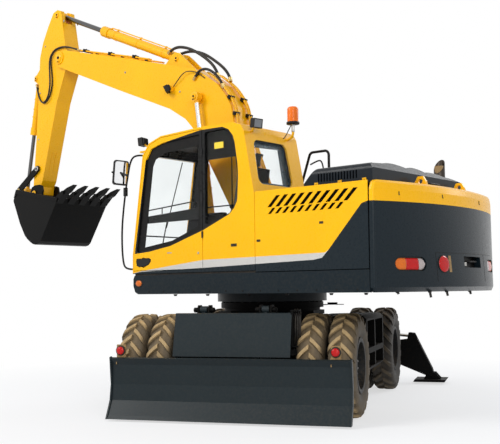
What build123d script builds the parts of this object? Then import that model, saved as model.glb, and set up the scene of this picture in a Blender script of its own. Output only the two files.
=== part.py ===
from build123d import *
from math import atan2, cos, degrees, hypot, pi, radians, sin, sqrt
import os

# Wheeled excavator, millimetres. +X is the driving direction of the undercarriage, +Y its left
# side and +Z up. The origin is on the ground, straight below the slewing axis.
# The upper structure is drawn in its own directions, u forward, v left and z up, and is then
# turned by SWING about the slewing axis.

# Undercarriage
REAR_AXLE_X = -1110
FRONT_AXLE_X = 1545
AXLE_Z = 527
TYRE_R = 527
TYRE_HALF_W = 138
INNER_WHEEL_Y = 795
OUTER_WHEEL_Y = 1105
RIM_R = 254
BEAD_Y = 100
KINGPIN_Y = 680
CHASSIS_HALF_W = 330
CHASSIS_Z = (725, 905)
CHASSIS_X = (-1370, 2270)
RING_R = 640
RING_Z = (1095, 1235)

# Dozer blade with its parallel linkage: (x, z) of each pin line
BLADE_HALF_W = 1250
BLADE_ARM_PIN = (-1290, 360)
BLADE_FOOT_PIN = (-1680, 236)
BLADE_LINK_PIN = (-1290, 600)
BLADE_HEAD_PIN = (-1680, 476)
BLADE_CYL_TOP = (-1450, 1100)
BLADE_CYL_EYE = (-1530, 286)
BLADE_ARM_Y = 430
BLADE_CYL_Y = 330
BLADE_LINK_Y = 188

# Stabilisers: (y, z) on the left side
STAB_X = (2330, 2450)
STAB_PIVOT = (500, 440)
STAB_EYE = (1350, 640)
STAB_CYL_BASE = (230, 735)

# Upper structure
SWING = 66
HOOD_U = (-2150, -1345)
HOOD_V = (-640, 1130)
SIDE_V = 1225
DECK_Z = 1265
TAIL_R = 2515
TAIL_TOP_U = -2440
TAIL_CORNER_U = -2196
SEAM_U = -2160
SHOULDER_Z = 2310
TAIL_LAMP = (640, 1010, 1460, 1595)
REAR_RECESS = (-390, 20, 1500, 1610)
LIFT_EYE = (-2245, 400)
LIFT_EYE_Z = 2352
LIFT_EYE_R = 25
CAB_U = (-780, 1070)
CAB_V = (330, 1225)
CAB_Z = (1500, 3075)
CAB_WALL = 45
DOOR_SPLIT_U = -45
DOOR_BOTTOM_Z = 1530

# Working equipment: (u, z) of each pin line in the upper structure's directions
BOOM_FOOT = (-80, 1620)
BOOM_NOSE = (3854, 4743)
BOOM_CYL_BASE = (640, 1400)
BOOM_CYL_PIN = (985, 3715)
ARM_CYL_BASE = (1480, 4325)
ARM_CYL_PIN = (3965, 5425)
BUCKET_PIN = (4445, 2785)
BUCKET_CYL_BASE = (4530, 4560)
ROCKER_PIN = (4400, 3150)
ROCKER_END = (4855, 2862)
LINK_PIN = (4614, 2467)
BOOM_HALF_W = 165
BOOM_CYL_V = 240
ARM_HALF_W = 125
BUCKET_HALF_W = 455
GAP = 8

os.makedirs("parts", exist_ok=True)


# ---------------------------------------------------------------- general helpers

def block(x0, x1, y0, y1, z0, z1):
    """A box between two corners."""
    return Pos((x0 + x1) / 2, (y0 + y1) / 2, (z0 + z1) / 2) * Box(x1 - x0, y1 - y0, z1 - z0)


def slab_y(points, y0, y1):
    """A plate with an (x, z) outline, from y0 to y1."""
    face = make_face(Polyline(*[(x, y0, z) for x, z in points], close=True))
    return extrude(face, amount=y1 - y0, dir=(0, 1, 0))


def slab_x(points, x0, x1):
    """A plate with a (y, z) outline, from x0 to x1."""
    face = make_face(Polyline(*[(x0, y, z) for y, z in points], close=True))
    return extrude(face, amount=x1 - x0, dir=(1, 0, 0))


def slab_z(points, z0, z1):
    """A plate with an (x, y) outline, from z0 to z1."""
    face = make_face(Polyline(*[(x, y, z0) for x, y in points], close=True))
    return extrude(face, amount=z1 - z0, dir=(0, 0, 1))


def disc_y(x, z, r, y0, y1):
    """A round bar along Y."""
    return Pos(x, (y0 + y1) / 2, z) * Rot(90, 0, 0) * Cylinder(r, y1 - y0)


def disc_x(y, z, r, x0, x1):
    """A round bar along X."""
    return Pos((x0 + x1) / 2, y, z) * Rot(0, 90, 0) * Cylinder(r, x1 - x0)


def disc_z(x, y, r, z0, z1):
    """A round bar along Z."""
    return Pos(x, y, (z0 + z1) / 2) * Cylinder(r, z1 - z0)


def bar(p, q, r):
    """A round bar from point p to point q."""
    axis = Vector(*q) - Vector(*p)
    base_aligned = (Align.CENTER, Align.CENTER, Align.MIN)
    return Plane(origin=p, z_dir=axis) * Cylinder(r, axis.length, align=base_aligned)


def mirrored(shape):
    """The same shape on the other side of the XZ plane."""
    return mirror(shape, about=Plane.XZ)


def turned(shape):
    """A shape of the upper structure, turned into the undercarriage's directions."""
    return Rot(0, 0, SWING) * shape


def toward(p, q, distance):
    """The point a distance from p on the way to q, in a plane."""
    length = hypot(q[0] - p[0], q[1] - p[1])
    return (p[0] + (q[0] - p[0]) * distance / length, p[1] + (q[1] - p[1]) * distance / length)


def save(name, *shapes):
    """Write one node; its solids do not touch."""
    solids = [solid for shape in shapes for solid in shape.solids()]
    export_step(solids[0] if len(solids) == 1 else Compound(solids), "parts/" + name + ".step")


# ---------------------------------------------------------------- hydraulic cylinders

def barrel_xz(base, eye, y, length, r, eye_r, eye_half_w):
    """A cylinder's barrel in an XZ plane, from its base pin toward the rod's eye."""
    head = toward(base, eye, length)
    neck = toward(base, eye, length - 2.2 * r)
    start = toward(base, eye, eye_r + 24)
    tube = bar((start[0], y, start[1]), (head[0], y, head[1]), r)
    collar = bar((neck[0], y, neck[1]), (head[0], y, head[1]), r * 1.16)
    shank = bar((base[0], y, base[1]), (start[0], y, start[1]), eye_half_w * 0.85)
    boss = disc_y(base[0], base[1], eye_r, y - eye_half_w, y + eye_half_w)
    bottom = toward(base, eye, eye_r + 36)
    beyond = toward(base, eye, length + 10)
    bore = bar((bottom[0], y, bottom[1]), (beyond[0], y, beyond[1]), r * 0.56)
    return shank + tube + collar + boss - bore


def rod_xz(base, eye, y, length, r, eye_r, eye_half_w, travel):
    """A cylinder's rod: an eye, and a bar that runs into the barrel by the travel left in it."""
    inside = toward(base, eye, length - travel)
    neck = toward(eye, base, eye_r * 0.5)
    stem = bar((neck[0], y, neck[1]), (inside[0], y, inside[1]), r * 0.54)
    return stem + disc_y(eye[0], eye[1], eye_r, y - eye_half_w, y + eye_half_w)


# ---------------------------------------------------------------- wheels

def tyre_solid(y):
    """One tyre: an open-bellied ring about the wheel's axis, at the height y along it."""
    w = TYRE_HALF_W
    outline = (
        Line((RIM_R + 1, BEAD_Y), (RIM_R + 30, BEAD_Y))
        + ThreePointArc((RIM_R + 30, BEAD_Y), (RIM_R + 130, w), (TYRE_R - 50, w - 12))
        + Line((TYRE_R - 50, w - 12), (TYRE_R, w - 34))
        + Line((TYRE_R, w - 34), (TYRE_R, 34 - w))
        + Line((TYRE_R, 34 - w), (TYRE_R - 50, 12 - w))
        + ThreePointArc((TYRE_R - 50, 12 - w), (RIM_R + 130, -w), (RIM_R + 30, -BEAD_Y))
        + Line((RIM_R + 30, -BEAD_Y), (RIM_R + 1, -BEAD_Y))
        + Line((RIM_R + 1, -BEAD_Y), (RIM_R + 1, 30 - BEAD_Y))
        + ThreePointArc((RIM_R + 1, 30 - BEAD_Y), (TYRE_R - 55, 0), (RIM_R + 1, BEAD_Y - 30))
        + Line((RIM_R + 1, BEAD_Y - 30), (RIM_R + 1, BEAD_Y))
    )
    face = make_face(Plane.XZ * outline)
    return Pos(0, 0, y) * revolve(face, Axis.Z)


def rim_and_hub():
    """The two rims of a twin wheel and the hub that carries them, about Z, outward upward."""
    inner_y, outer_y = INNER_WHEEL_Y, OUTER_WHEEL_Y
    middle = (inner_y + outer_y) / 2
    rim_profile = [(RIM_R - 18, -112), (RIM_R + 22, -112), (RIM_R + 22, -BEAD_Y - 1), (RIM_R, -BEAD_Y - 1),
                   (RIM_R, BEAD_Y + 1), (RIM_R + 22, BEAD_Y + 1), (RIM_R + 22, 112), (RIM_R - 18, 112)]
    ring = revolve(make_face(Plane.XZ * Polyline(*rim_profile, close=True)), Axis.Z)
    disc_profile = [(150, 6), (205, 6), (RIM_R - 10, 60), (RIM_R - 10, 78), (198, 24), (150, 24)]
    disc = revolve(make_face(Plane.XZ * Polyline(*disc_profile, close=True)), Axis.Z)
    hub_profile = [(0, 768), (140, 768), (140, 868), (178, 884), (178, middle + 10), (150, middle + 24),
                   (142, 1120), (112, 1172), (0, 1184)]
    hub = revolve(make_face(Plane.XZ * Polyline(*hub_profile, close=True)), Axis.Z)
    solid = hub + Pos(0, 0, inner_y) * ring + Pos(0, 0, outer_y) * ring
    solid += Pos(0, 0, middle) * disc + Pos(0, 0, middle) * mirror(disc, about=Plane.XY)
    holes = PolarLocations(206, 8) * Cylinder(17, 130)
    return solid - Pos(0, 0, middle) * Compound([hole for hole in holes])


def build_wheels():
    tyres = Compound(tyre_solid(INNER_WHEEL_Y).solids() + tyre_solid(OUTER_WHEEL_Y).solids())
    hub = rim_and_hub()
    for end, x in (("rear", REAR_AXLE_X), ("front", FRONT_AXLE_X)):
        for side, tilt in (("left", -90), ("right", 90)):
            place = Pos(x, 0, AXLE_Z) * Rot(tilt, 0, 0)
            save(f"{end}_{side}_tyres", place * tyres)
            save(f"{end}_{side}_rims", place * hub)


# ---------------------------------------------------------------- chassis and axles

def build_chassis():
    x0, x1 = CHASSIS_X
    z0, z1 = CHASSIS_Z
    w = CHASSIS_HALF_W
    spine = [(x0, z0), (x0, z1), (-760, z1), (-560, 1060), (620, 1060), (900, z1), (2130, z1 - 40),
             (x1, z1 - 110), (x1, 420), (2150, 420), (2040, z0), (900, z0), (640, 560), (-560, 560),
             (-700, z0)]
    frame = slab_y(spine, -w, w)
    wings = [(-560, w), (-300, 560), (300, 560), (620, w), (620, -w), (300, -560), (-300, -560), (-560, -w)]
    frame += slab_z(wings, 1012, 1060)
    frame += slab_z([(x * 0.9, y * 0.82) for x, y in wings], 640, 680)
    frame += disc_z(0, 0, 560, 900, RING_Z[0])
    frame -= block(-520, 600, -w + 60, w - 60, 540, 650)
    frame += block(x0, x0 + 120, -400, 400, 780, z1)
    bracket = [(x0 + 110, z1), (x0 + 110, z1 - 100), (x0, z1 - 100), (x0 - 80, 990), (x0 - 120, 1060),
               (x0 - 120, 1120), (x0 - 90, 1150), (x0 - 20, 1150), (x0 + 20, 1080)]
    arm_lug = [(-1345, 330), (-1345, z0), (-1180, z0), (-1180, 680), (-1230, 420), (-1240, 320),
               (-1300, 300)]
    link_lug = [(-1335, 575), (-1335, z0), (-1240, z0), (-1240, 575), (-1290, 555)]
    for side in (1, -1):
        for c in (BLADE_CYL_Y - 57, BLADE_CYL_Y + 57):
            frame += slab_y(bracket, side * c - 9, side * c + 9)
        frame += slab_y(arm_lug, side * 405 - 12, side * 405 + 12)
        y0, y1 = sorted((side * 300, side * 417))
        frame += block(x0 + 25, x0 + 190, y0, y1, z0, 790)
        for c in (BLADE_LINK_Y - 31, BLADE_LINK_Y + 31):
            frame += slab_y(link_lug, side * c - 7, side * c + 7)
    return frame


def build_undercarriage():
    save("chassis_frame", build_chassis())
    low = RING_Z[0]
    ring = disc_z(0, 0, RING_R - 40, low, low + 62) + disc_z(0, 0, RING_R - 70, low, low + 70)
    save("slew_ring", ring)
    # rigid axle at the blade end
    z = AXLE_Z
    x = REAR_AXLE_X
    tube = disc_y(x, z, 92, -740, 740) + disc_y(x, z, 132, -764, -700) + disc_y(x, z, 132, 700, 764)
    case = Pos(x, 0, z) * Sphere(190) + disc_x(0, z, 110, x, x + 300)
    pad = block(x - 60, x + 110, 230, 320, z + 60, CHASSIS_Z[0])
    save("rear_axle", tube + case + pad + mirrored(pad))
    # steered axle with its forks
    x = FRONT_AXLE_X
    beam = slab_x([(-560, z - 80), (-560, z + 80), (-300, z + 105), (300, z + 105), (560, z + 80), (560, z - 80),
                   (300, z - 105), (-300, z - 105)], x - 80, x + 80)
    case = Pos(x, 0, z) * Sphere(175) + disc_x(0, z, 105, x - 300, x)
    saddle = block(x - 130, x + 130, -150, 150, z + 90, CHASSIS_Z[0])
    axle = beam + case + saddle + disc_y(x + 150, z, 42, -330, 330) + disc_y(x + 150, z, 22, -430, 430)
    axle += block(x + 60, x + 170, -60, 60, z - 40, z + 40)
    for side in (1, -1):
        y = side * KINGPIN_Y
        inner = side * 545
        web = block(x - 55, x + 55, min(inner, side * 600), max(inner, side * 600), z - 190, z + 190)
        axle += web
        for low, high in ((z + 152, z + 190), (z - 190, z - 152)):
            ear = block(x - 55, x + 55, min(side * 560, y), max(side * 560, y), low, high)
            axle += ear + disc_z(x, y, 55, low, high)
            axle -= disc_z(x, y, 24.3, low - 5, high + 5)
    save("front_axle", axle)
    for side, name in ((1, "left"), (-1, "right")):
        y = side * KINGPIN_Y
        body = disc_z(x, y, 58, z - 146, z + 146)
        body += disc_y(x, z, 128, min(y, side * 762), max(y, side * 762))
        body += disc_z(x, y, 24, z - 196, z + 196)
        y0, y1 = sorted((side * 640, side * 680))
        save("knuckle_" + name, body + block(x + 20, x + 150, y0, y1, z - 20, z + 20))
    # gearbox under the middle and its two shafts
    gearbox = block(-120, 210, -150, 150, 430, 556) + disc_x(0, z - 40, 75, -180, 260)
    shaft_rear = bar((-185, 0, z - 38), (REAR_AXLE_X + 305, 0, z), 38)
    shaft_front = bar((265, 0, z - 38), (FRONT_AXLE_X - 305, 0, z), 38)
    save("gearbox_and_shafts", gearbox, shaft_rear, shaft_front)


def build_side_steps():
    """Step boxes on both flanks between the axles, each with open footholds in two rows."""
    step = slab_x([(560, 1000), (1150, 1010), (1190, 970), (1190, 440), (1130, 380), (700, 380),
                   (560, 560)], -500, 740)
    for x0, x1 in ((-440, 60), (120, 680)):
        for z0, z1 in ((440, 590), (650, 950)):
            step -= block(x0, x1, 900, 1230, z0, z1)
    save("side_step_boxes", step, mirrored(step))


# ---------------------------------------------------------------- dozer blade

def round_ended(p, q, r, y0, y1):
    """A link plate in an XZ plane with round ends about the pins p and q."""
    dx, dz = q[0] - p[0], q[1] - p[1]
    length = hypot(dx, dz)
    nx, nz = -dz / length * r, dx / length * r
    web = slab_y([(p[0] + nx, p[1] + nz), (q[0] + nx, q[1] + nz), (q[0] - nx, q[1] - nz),
                  (p[0] - nx, p[1] - nz)], y0, y1)
    return web + disc_y(p[0], p[1], r, y0, y1) + disc_y(q[0], q[1], r, y0, y1)


def build_blade():
    y = BLADE_ARM_Y
    arms = disc_y(-1440, 312, 38, -y, y)
    for side in (1, -1):
        y0, y1 = sorted((side * (y - 4), side * (y + 32)))
        arms += round_ended(BLADE_ARM_PIN, BLADE_FOOT_PIN, 30, y0, y1)
        for off in (-40, 40):
            c = side * BLADE_CYL_Y + off
            arms += slab_y([(-1440, 290), (-1480, 344), (-1540, 334), (-1570, 300), (-1560, 262), (-1520, 246),
                            (-1440, 276)], c - 8, c + 8)
    save("blade_arms", arms)
    link = round_ended(BLADE_LINK_PIN, BLADE_HEAD_PIN, 22, BLADE_LINK_Y - 18, BLADE_LINK_Y + 18)
    save("blade_link", link + mirrored(link) + disc_y(-1500, 534, 18, -BLADE_LINK_Y, BLADE_LINK_Y))
    # mouldboard: a folded, concave sheet with a cutting edge, cheeks and lugs behind
    front = [(-1772, 622), (-1738, 560), (-1728, 360), (-1752, 200), (-1836, 60), (-1862, 22)]
    back = [(-1846, 22), (-1816, 66), (-1734, 206), (-1712, 362), (-1722, 552), (-1746, 632)]
    board = slab_y(front + back, -BLADE_HALF_W, BLADE_HALF_W)
    cheek = [(-1772, 632), (-1742, 640), (-1700, 560), (-1690, 360), (-1712, 200), (-1800, 24), (-1868, 22),
             (-1768, 200), (-1740, 360)]
    foot_lug = [(-1716, 330), (-1670, 290), (-1650, 236), (-1664, 200), (-1716, 180), (-1760, 150)]
    head_lug = [(-1718, 540), (-1670, 510), (-1652, 476), (-1668, 440), (-1716, 400)]
    for side in (1, -1):
        y0, y1 = sorted((side * BLADE_HALF_W, side * (BLADE_HALF_W - 16)))
        board += slab_y(cheek, y0, y1)
        for c in (y - 19, y + 47):
            board += slab_y(foot_lug, side * c - 8, side * c + 8)
        for c in (BLADE_LINK_Y - 31, BLADE_LINK_Y + 31):
            board += slab_y(head_lug, side * c - 7, side * c + 7)
    save("dozer_blade", board)
    barrels = []
    rods = []
    for side in (1, -1):
        c = side * BLADE_CYL_Y
        barrels.append(barrel_xz(BLADE_CYL_TOP, BLADE_CYL_EYE, c, 530, 44, 40, 36))
        rods.append(rod_xz(BLADE_CYL_TOP, BLADE_CYL_EYE, c, 530, 44, 36, 24, 60))
    save("blade_cylinder_barrels", *barrels)
    save("blade_cylinder_rods", *rods)
    # sloping guard plate outside the two cylinders, on stays from the frame's end
    guard = slab_y([(-1572, 1066), (-1560, 1072), (-1655, 640), (-1668, 640)], -625, 600)
    end = CHASSIS_X[0]
    stay = [(end, 900), (end, 735), (-1632, 735), (-1593, 900)]
    guard += slab_y(stay, 552, 566) + slab_y(stay, -582, -568) + block(end - 14, end, -582, 566, 735, 795)
    save("blade_guard", guard)


# ---------------------------------------------------------------- stabilisers

def build_stabilisers():
    x0, x1 = STAB_X
    py, pz = STAB_PIVOT
    ey, ez = STAB_EYE
    plate = [(-py - 60, pz - 60), (-py - 60, pz + 60), (-320, 600), (-320, 800), (320, 800),
             (320, 600), (py + 60, pz + 60), (py + 60, pz - 60), (320, 380), (-320, 380)]
    beam = slab_x(plate, x0 - 40, x0 - 12) + slab_x(plate, x1 + 12, x1 + 40)
    beam += block(x0 - 30, x1 + 30, -150, 150, 400, 640)
    beam += block(CHASSIS_X[1], x0 - 30, -260, 260, 420, 700)
    save("stabiliser_beam", beam)
    outline = [(py - 60, pz - 30), (py - 30, pz + 60), (ey - 60, ez - 40), (ey - 40, ez + 50),
               (ey + 40, ez + 40), (1620, 200), (1640, 120), (1560, 96), (1180, 250), (py, pz - 66)]
    hollow = [(620, 470), (1240, 560), (1290, 720), (1500, 720), (1330, 480), (1200, 330), (640, 410)]
    leg = slab_x(outline, x0, x1) - slab_x(hollow, x0 + 16, x1 - 16)
    xc = (x0 + x1) / 2
    leg += slab_x([(1390, 62), (1372, 30), (1790, 30), (1815, 62)], xc - 210, xc + 210)
    rib = [(1500, 60), (1560, 150), (1660, 150), (1740, 60)]
    leg += slab_x(rib, x0 - 26, x0 - 8) + slab_x(rib, x1 + 8, x1 + 26)
    leg += disc_x(1605, 128, 22, x0 - 30, x1 + 30) + disc_x(py, pz, 30, x0 - 8, x1 + 8)
    base = STAB_CYL_BASE
    head = toward(base, STAB_EYE, 800)
    start = toward(base, STAB_EYE, 30)
    barrel = bar((xc, start[0], start[1]), (xc, head[0], head[1]), 38)
    barrel += disc_x(base[0], base[1], 40, xc - 30, xc + 30)
    mouth = toward(base, STAB_EYE, 90)
    beyond = toward(base, STAB_EYE, 820)
    barrel -= bar((xc, mouth[0], mouth[1]), (xc, beyond[0], beyond[1]), 22)
    inside = toward(base, STAB_EYE, 740)
    neck = toward(STAB_EYE, base, 20)
    rod = bar((xc, neck[0], neck[1]), (xc, inside[0], inside[1]), 21)
    rod += disc_x(ey, ez, 30, xc - 20, xc + 20)
    for node, shape in (("leg", leg), ("barrel", barrel), ("rod", rod)):
        save(f"stabiliser_{node}_left", shape)
        save(f"stabiliser_{node}_right", mirrored(shape))


# ---------------------------------------------------------------- upper structure

def cab_profile(inset=0):
    """The side outline of the cab in (u, z), drawn smaller by an inset."""
    points = [(1070, 1500), (1070, 1720), (900, 2860), (790, 2990), (600, 3050), (-60, 3075),
              (-490, 3066), (-600, 3030), (-645, 2960), (-780, 2270), (-780, 1500)]
    face = make_face(Polyline(*[(x, z) for x, z in points], close=True))
    if inset:
        face = offset(face, amount=-inset, kind=Kind.INTERSECTION)
    return face


def side_slab(face, v0, v1):
    """A plate of the upper structure from a (u, z) sketch, between two v planes."""
    turned_face = Plane(origin=(0, v0, 0), x_dir=(1, 0, 0), z_dir=(0, -1, 0)) * face
    return extrude(turned_face, amount=v1 - v0, dir=(0, 1, 0))


def window_sketch(points, radius=60):
    face = make_face(Polyline(*points, close=True))
    return fillet(face.vertices(), radius)


def build_cab():
    v0, v1 = CAB_V
    t = CAB_WALL
    shell = side_slab(cab_profile(), v0, v1) - side_slab(cab_profile(t), v0 + t, v1 - t)
    door_cut = [(1055, DOOR_BOTTOM_Z), (1055, 1722), (888, 2850), (780, 2975), (600, 3035),
                (DOOR_SPLIT_U - 4, 3052), (DOOR_SPLIT_U - 4, DOOR_BOTTOM_Z)]
    shell -= slab_y(door_cut, v1 - t - 1, v1 + 5)
    quarter = [(-85, 2000), (-85, 3010), (-400, 3010), (-500, 2890), (-555, 2500), (-545, 2240),
               (-440, 2110)]
    shell -= side_slab(window_sketch(quarter, 30), v1 - t - 5, v1 + 5)
    right = [(980, 1790), (835, 2780), (740, 2900), (560, 2950), (-450, 2985), (-560, 2500),
             (-560, 2050), (300, 1790)]
    shell -= side_slab(window_sketch(right, 40), v0 - 5, v0 + t + 5)
    # windscreen and rear window
    front = [(1005, 1624), (1120, 1624), (1120, 1722), (945, 2858), (842, 2858)]
    shell -= slab_y(front, v0 + 55, v1 - 55)
    rear = [(530, 2400), (1115, 2400), (1090, 2880), (545, 2880)]
    rear_face = window_sketch([(v, z) for v, z in rear], 75)
    rear_hole = extrude(Plane(origin=(-900, 0, 0), x_dir=(0, 1, 0), z_dir=(1, 0, 0)) * rear_face, 300)
    shell -= rear_hole
    shell -= block(0, 620, v0 + 110, v1 - 130, 2990, 3120)
    save("cab_shell", turned(shell))
    # fixed glass
    glass = [
        side_slab(window_sketch(quarter, 30), v1 - 28, v1 - 20),
        side_slab(window_sketch(right, 40), v0 + 18, v0 + 26),
        slab_y([(1066, 1724), (898, 2856), (890, 2856), (1058, 1724)], v0 + 56, v1 - 56),
        slab_y([(1054, 1624), (1054, 1718), (1062, 1718), (1062, 1624)], v0 + 56, v1 - 56),
        slab_y([(-754, 2404), (-664, 2876), (-656, 2876), (-746, 2404)], v0, v1) & rear_hole,
        block(2, 618, v0 + 112, v1 - 132, 3044, 3050),
    ]
    save("cab_glass", *[turned(pane) for pane in glass])
    # door
    door_outline = [(1050, DOOR_BOTTOM_Z + 6), (1050, 1721), (883, 2848), (777, 2969), (599, 3029),
                    (DOOR_SPLIT_U + 4, 3046), (DOOR_SPLIT_U + 4, DOOR_BOTTOM_Z + 6)]
    door = slab_y(door_outline, v1 - t + 3, v1)
    pane = [(1005, 1742), (842, 2800), (760, 2920), (580, 2968), (DOOR_SPLIT_U + 34, 2998),
            (DOOR_SPLIT_U + 34, 1960), (451, 1808)]
    door -= side_slab(window_sketch(pane, 25), v1 - t - 5, v1 + 5)
    door -= disc_y(890, 1625, 58, v1 - 22, v1 + 5)
    save("cab_door", turned(door))
    save("door_glass", turned(side_slab(window_sketch(pane, 25), v1 - 30, v1 - 22)))
    # seat and controls
    seat = block(-330, 190, 520, 1010, 1900, 2010)
    seat += slab_y([(-330, 2000), (-210, 2000), (-330, 2640), (-430, 2640)], 540, 990)
    seat += slab_y([(-400, 2650), (-330, 2650), (-345, 2800), (-430, 2800)], 640, 890)
    seat += block(-390, -360, 700, 830, 2560, 2720) + block(-250, 110, 620, 910, 1640, 1902)
    save("operator_seat", turned(seat))
    column = bar((700, 765, 1570), (560, 765, 2120), 36)
    rim = Plane(origin=(548, 765, 2160), z_dir=(-0.3, 0, 1))
    wheel = rim * (Torus(185, 15) + Box(370, 28, 12) + Box(28, 370, 12) + Cylinder(40, 60))
    consoles = []
    for y0, y1 in ((400, 505), (1025, 1130)):
        y = (y0 + y1) / 2
        console = block(-260, 240, y0, y1, 1950, 2110) + block(-200, 0, y0 + 10, y1 - 10, 1546, 1952)
        console += bar((200, y, 2105), (215, y, 2250), 13) + Pos(217, y, 2270) * Sphere(27)
        consoles.append(turned(console))
    save("cab_controls", turned(column + wheel), *consoles)


def tail_outline(z, rear_u, inset=0):
    """Plan of the tail at one height: short straight sides, and an arc to its rearmost point."""
    front_u = SEAM_U - 3
    v = SIDE_V - inset
    side_end = (TAIL_CORNER_U + 20, v)
    knuckle = (TAIL_CORNER_U - 3, v - 5)
    rear_end = (TAIL_CORNER_U - 16, v - 27)
    half = Line((front_u, 0), (front_u, v)) + Line((front_u, v), side_end)
    half += ThreePointArc(side_end, knuckle, rear_end)
    rear = ThreePointArc(rear_end, (rear_u + inset, 0), (rear_end[0], -rear_end[1]))
    return Pos(0, 0, z) * make_face(half + rear + mirror(half, about=Plane.XZ))


def tail_solid(inset=0):
    """The counterweight's body, leaning in toward a rounded shoulder."""
    sections = [(DECK_Z, -TAIL_R + 45, 45), (DECK_Z + 45, -TAIL_R, 0), (2225, TAIL_TOP_U, 8),
                (2285, TAIL_TOP_U, 30), (SHOULDER_Z, TAIL_TOP_U, 75)]
    faces = [tail_outline(z, rear_u, step + inset) for z, rear_u, step in sections]
    return loft(faces, ruled=True)


def rear_oval(v0, v1, z0, z1):
    """A round-ended bar through the tail, from behind."""
    r = (z1 - z0) / 2
    z = (z0 + z1) / 2
    return block(-2700, -2000, v0 + r, v1 - r, z0, z1) + disc_x(v0 + r, z, r, -2700, -2000) \
        + disc_x(v1 - r, z, r, -2700, -2000)


def build_upper():
    weight = tail_solid()
    lamp = rear_oval(*TAIL_LAMP)
    weight -= (lamp + mirrored(lamp)) - tail_solid(22)
    weight -= block(-2700, -2000, *REAR_RECESS) - tail_solid(80)
    save("counterweight", turned(weight))
    eye_u, eye_v = LIFT_EYE
    eye = slab_y([(eye_u - 70, SHOULDER_Z), (eye_u - 60, 2350), (eye_u - 30, 2400), (eye_u + 30, 2400),
                  (eye_u + 60, 2350), (eye_u + 70, SHOULDER_Z)], eye_v - 14, eye_v + 14)
    eye -= disc_y(eye_u, LIFT_EYE_Z, LIFT_EYE_R, eye_v - 20, eye_v + 20)
    save("lifting_eyes", turned(eye), turned(mirrored(eye)))
    # turntable: bottom plate, side beams and the two boom brackets
    plate = slab_z([(-2150, -1180), (-2150, 1180), (1000, 1180), (1000, 322), (720, 322), (720, 176),
                    (560, 176), (560, -176), (720, -176), (720, -322), (700, -1180)], 1270, 1300)
    hub = disc_z(0, 0, RING_R, 1170, 1272)
    frame = plate + hub
    cheek = [(-2150, 1298), (-2150, 1420), (-700, 1480), (-260, 1560), (-170, 1700), (-80, 1740), (10, 1700),
             (130, 1560), (420, 1400), (480, 1298)]
    cyl_lug = [(520, 1298), (565, 1420), (600, 1458), (670, 1458), (702, 1410), (690, 1298)]
    for side in (1, -1):
        frame += slab_y(cheek, side * 189 - 14, side * 189 + 14)
        for c in (BOOM_CYL_V - 52, BOOM_CYL_V + 52):
            frame += slab_y(cyl_lug, side * c - 7, side * c + 7)
    frame += block(-2150, 1000, 1120, 1150, 1298, 1420) + block(-2150, 700, -1150, -1120, 1298, 1420)
    frame += block(-720, -600, 345, 1100, 1298, 1500) + block(850, 970, 345, 1100, 1298, 1500)
    save("turntable_frame", turned(frame))
    left = [(-2155, 1266), (-2155, 1478), (1040, 1478), (1060, 1440), (1060, 1360), (1030, 1290),
            (980, 1266)]
    right = [(-2155, 1266), (-2155, 1478), (760, 1478), (760, 1300), (730, 1266)]
    v = SIDE_V
    save("side_skirts", turned(slab_y(left, v - 40, v)), turned(slab_y(right, -v, 40 - v)))
    save("engine_block", turned(block(-1900, -1400, -480, 480, 1462, 2080)))
    save_body_panels()


def louvres(u0, pitch, z0, z1, slot, lean, v, count):
    """A row of slanted slots through a side panel; u0 is the foot of the first one."""
    slots = []
    for i in range(count):
        u = u0 - i * pitch
        slots.append(slab_y([(u, z0), (u - slot, z0), (u - slot - lean, z1), (u - lean, z1)], v - 60, v + 20))
    return slots


def hood_solid(inset):
    """The hood: a moulded section with four shallow waves, sloped off in front and behind."""
    low, high = HOOD_V[0] + inset, HOOD_V[1] - inset
    u0, u1 = HOOD_U[0] + inset, HOOD_U[1] - inset
    waves = [((low + 50, 2434), (-450, 2460), (-310, 2466)), ((-310, 2466), (-130, 2492), (70, 2484)),
             ((70, 2484), (240, 2515), (420, 2494)), ((420, 2494), (640, 2521), (840, 2504))]
    section = Line((low, 2312), (low, 2400 - inset))
    section += ThreePointArc((low, 2400 - inset), (low + 14, 2422 - inset), (low + 50, 2434 - inset))
    for wave in waves:
        section += ThreePointArc(*[(v, z - inset) for v, z in wave])
    section += Line((840, 2504 - inset), (high - 80, 2488 - inset))
    section += ThreePointArc((high - 80, 2488 - inset), (high - 20, 2468 - inset), (high, 2420 - inset))
    section += Line((high, 2420 - inset), (high, 2312)) + Line((high, 2312), (low, 2312))
    plane = Plane(origin=(u0, 0, 0), x_dir=(0, 1, 0), z_dir=(1, 0, 0))
    hood = extrude(plane * make_face(section), amount=u1 - u0, dir=(1, 0, 0))
    front = [(u1 + 5, 2335), (u1 - 190, 2540), (u1 + 5, 2700)]
    back = [(u0 - 5, 2430), (u0 - 5, 2700), (u0 + 90, 2530)]
    return hood - slab_y(front, low - 5, high + 5) - slab_y(back, low - 5, high + 5)


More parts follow.
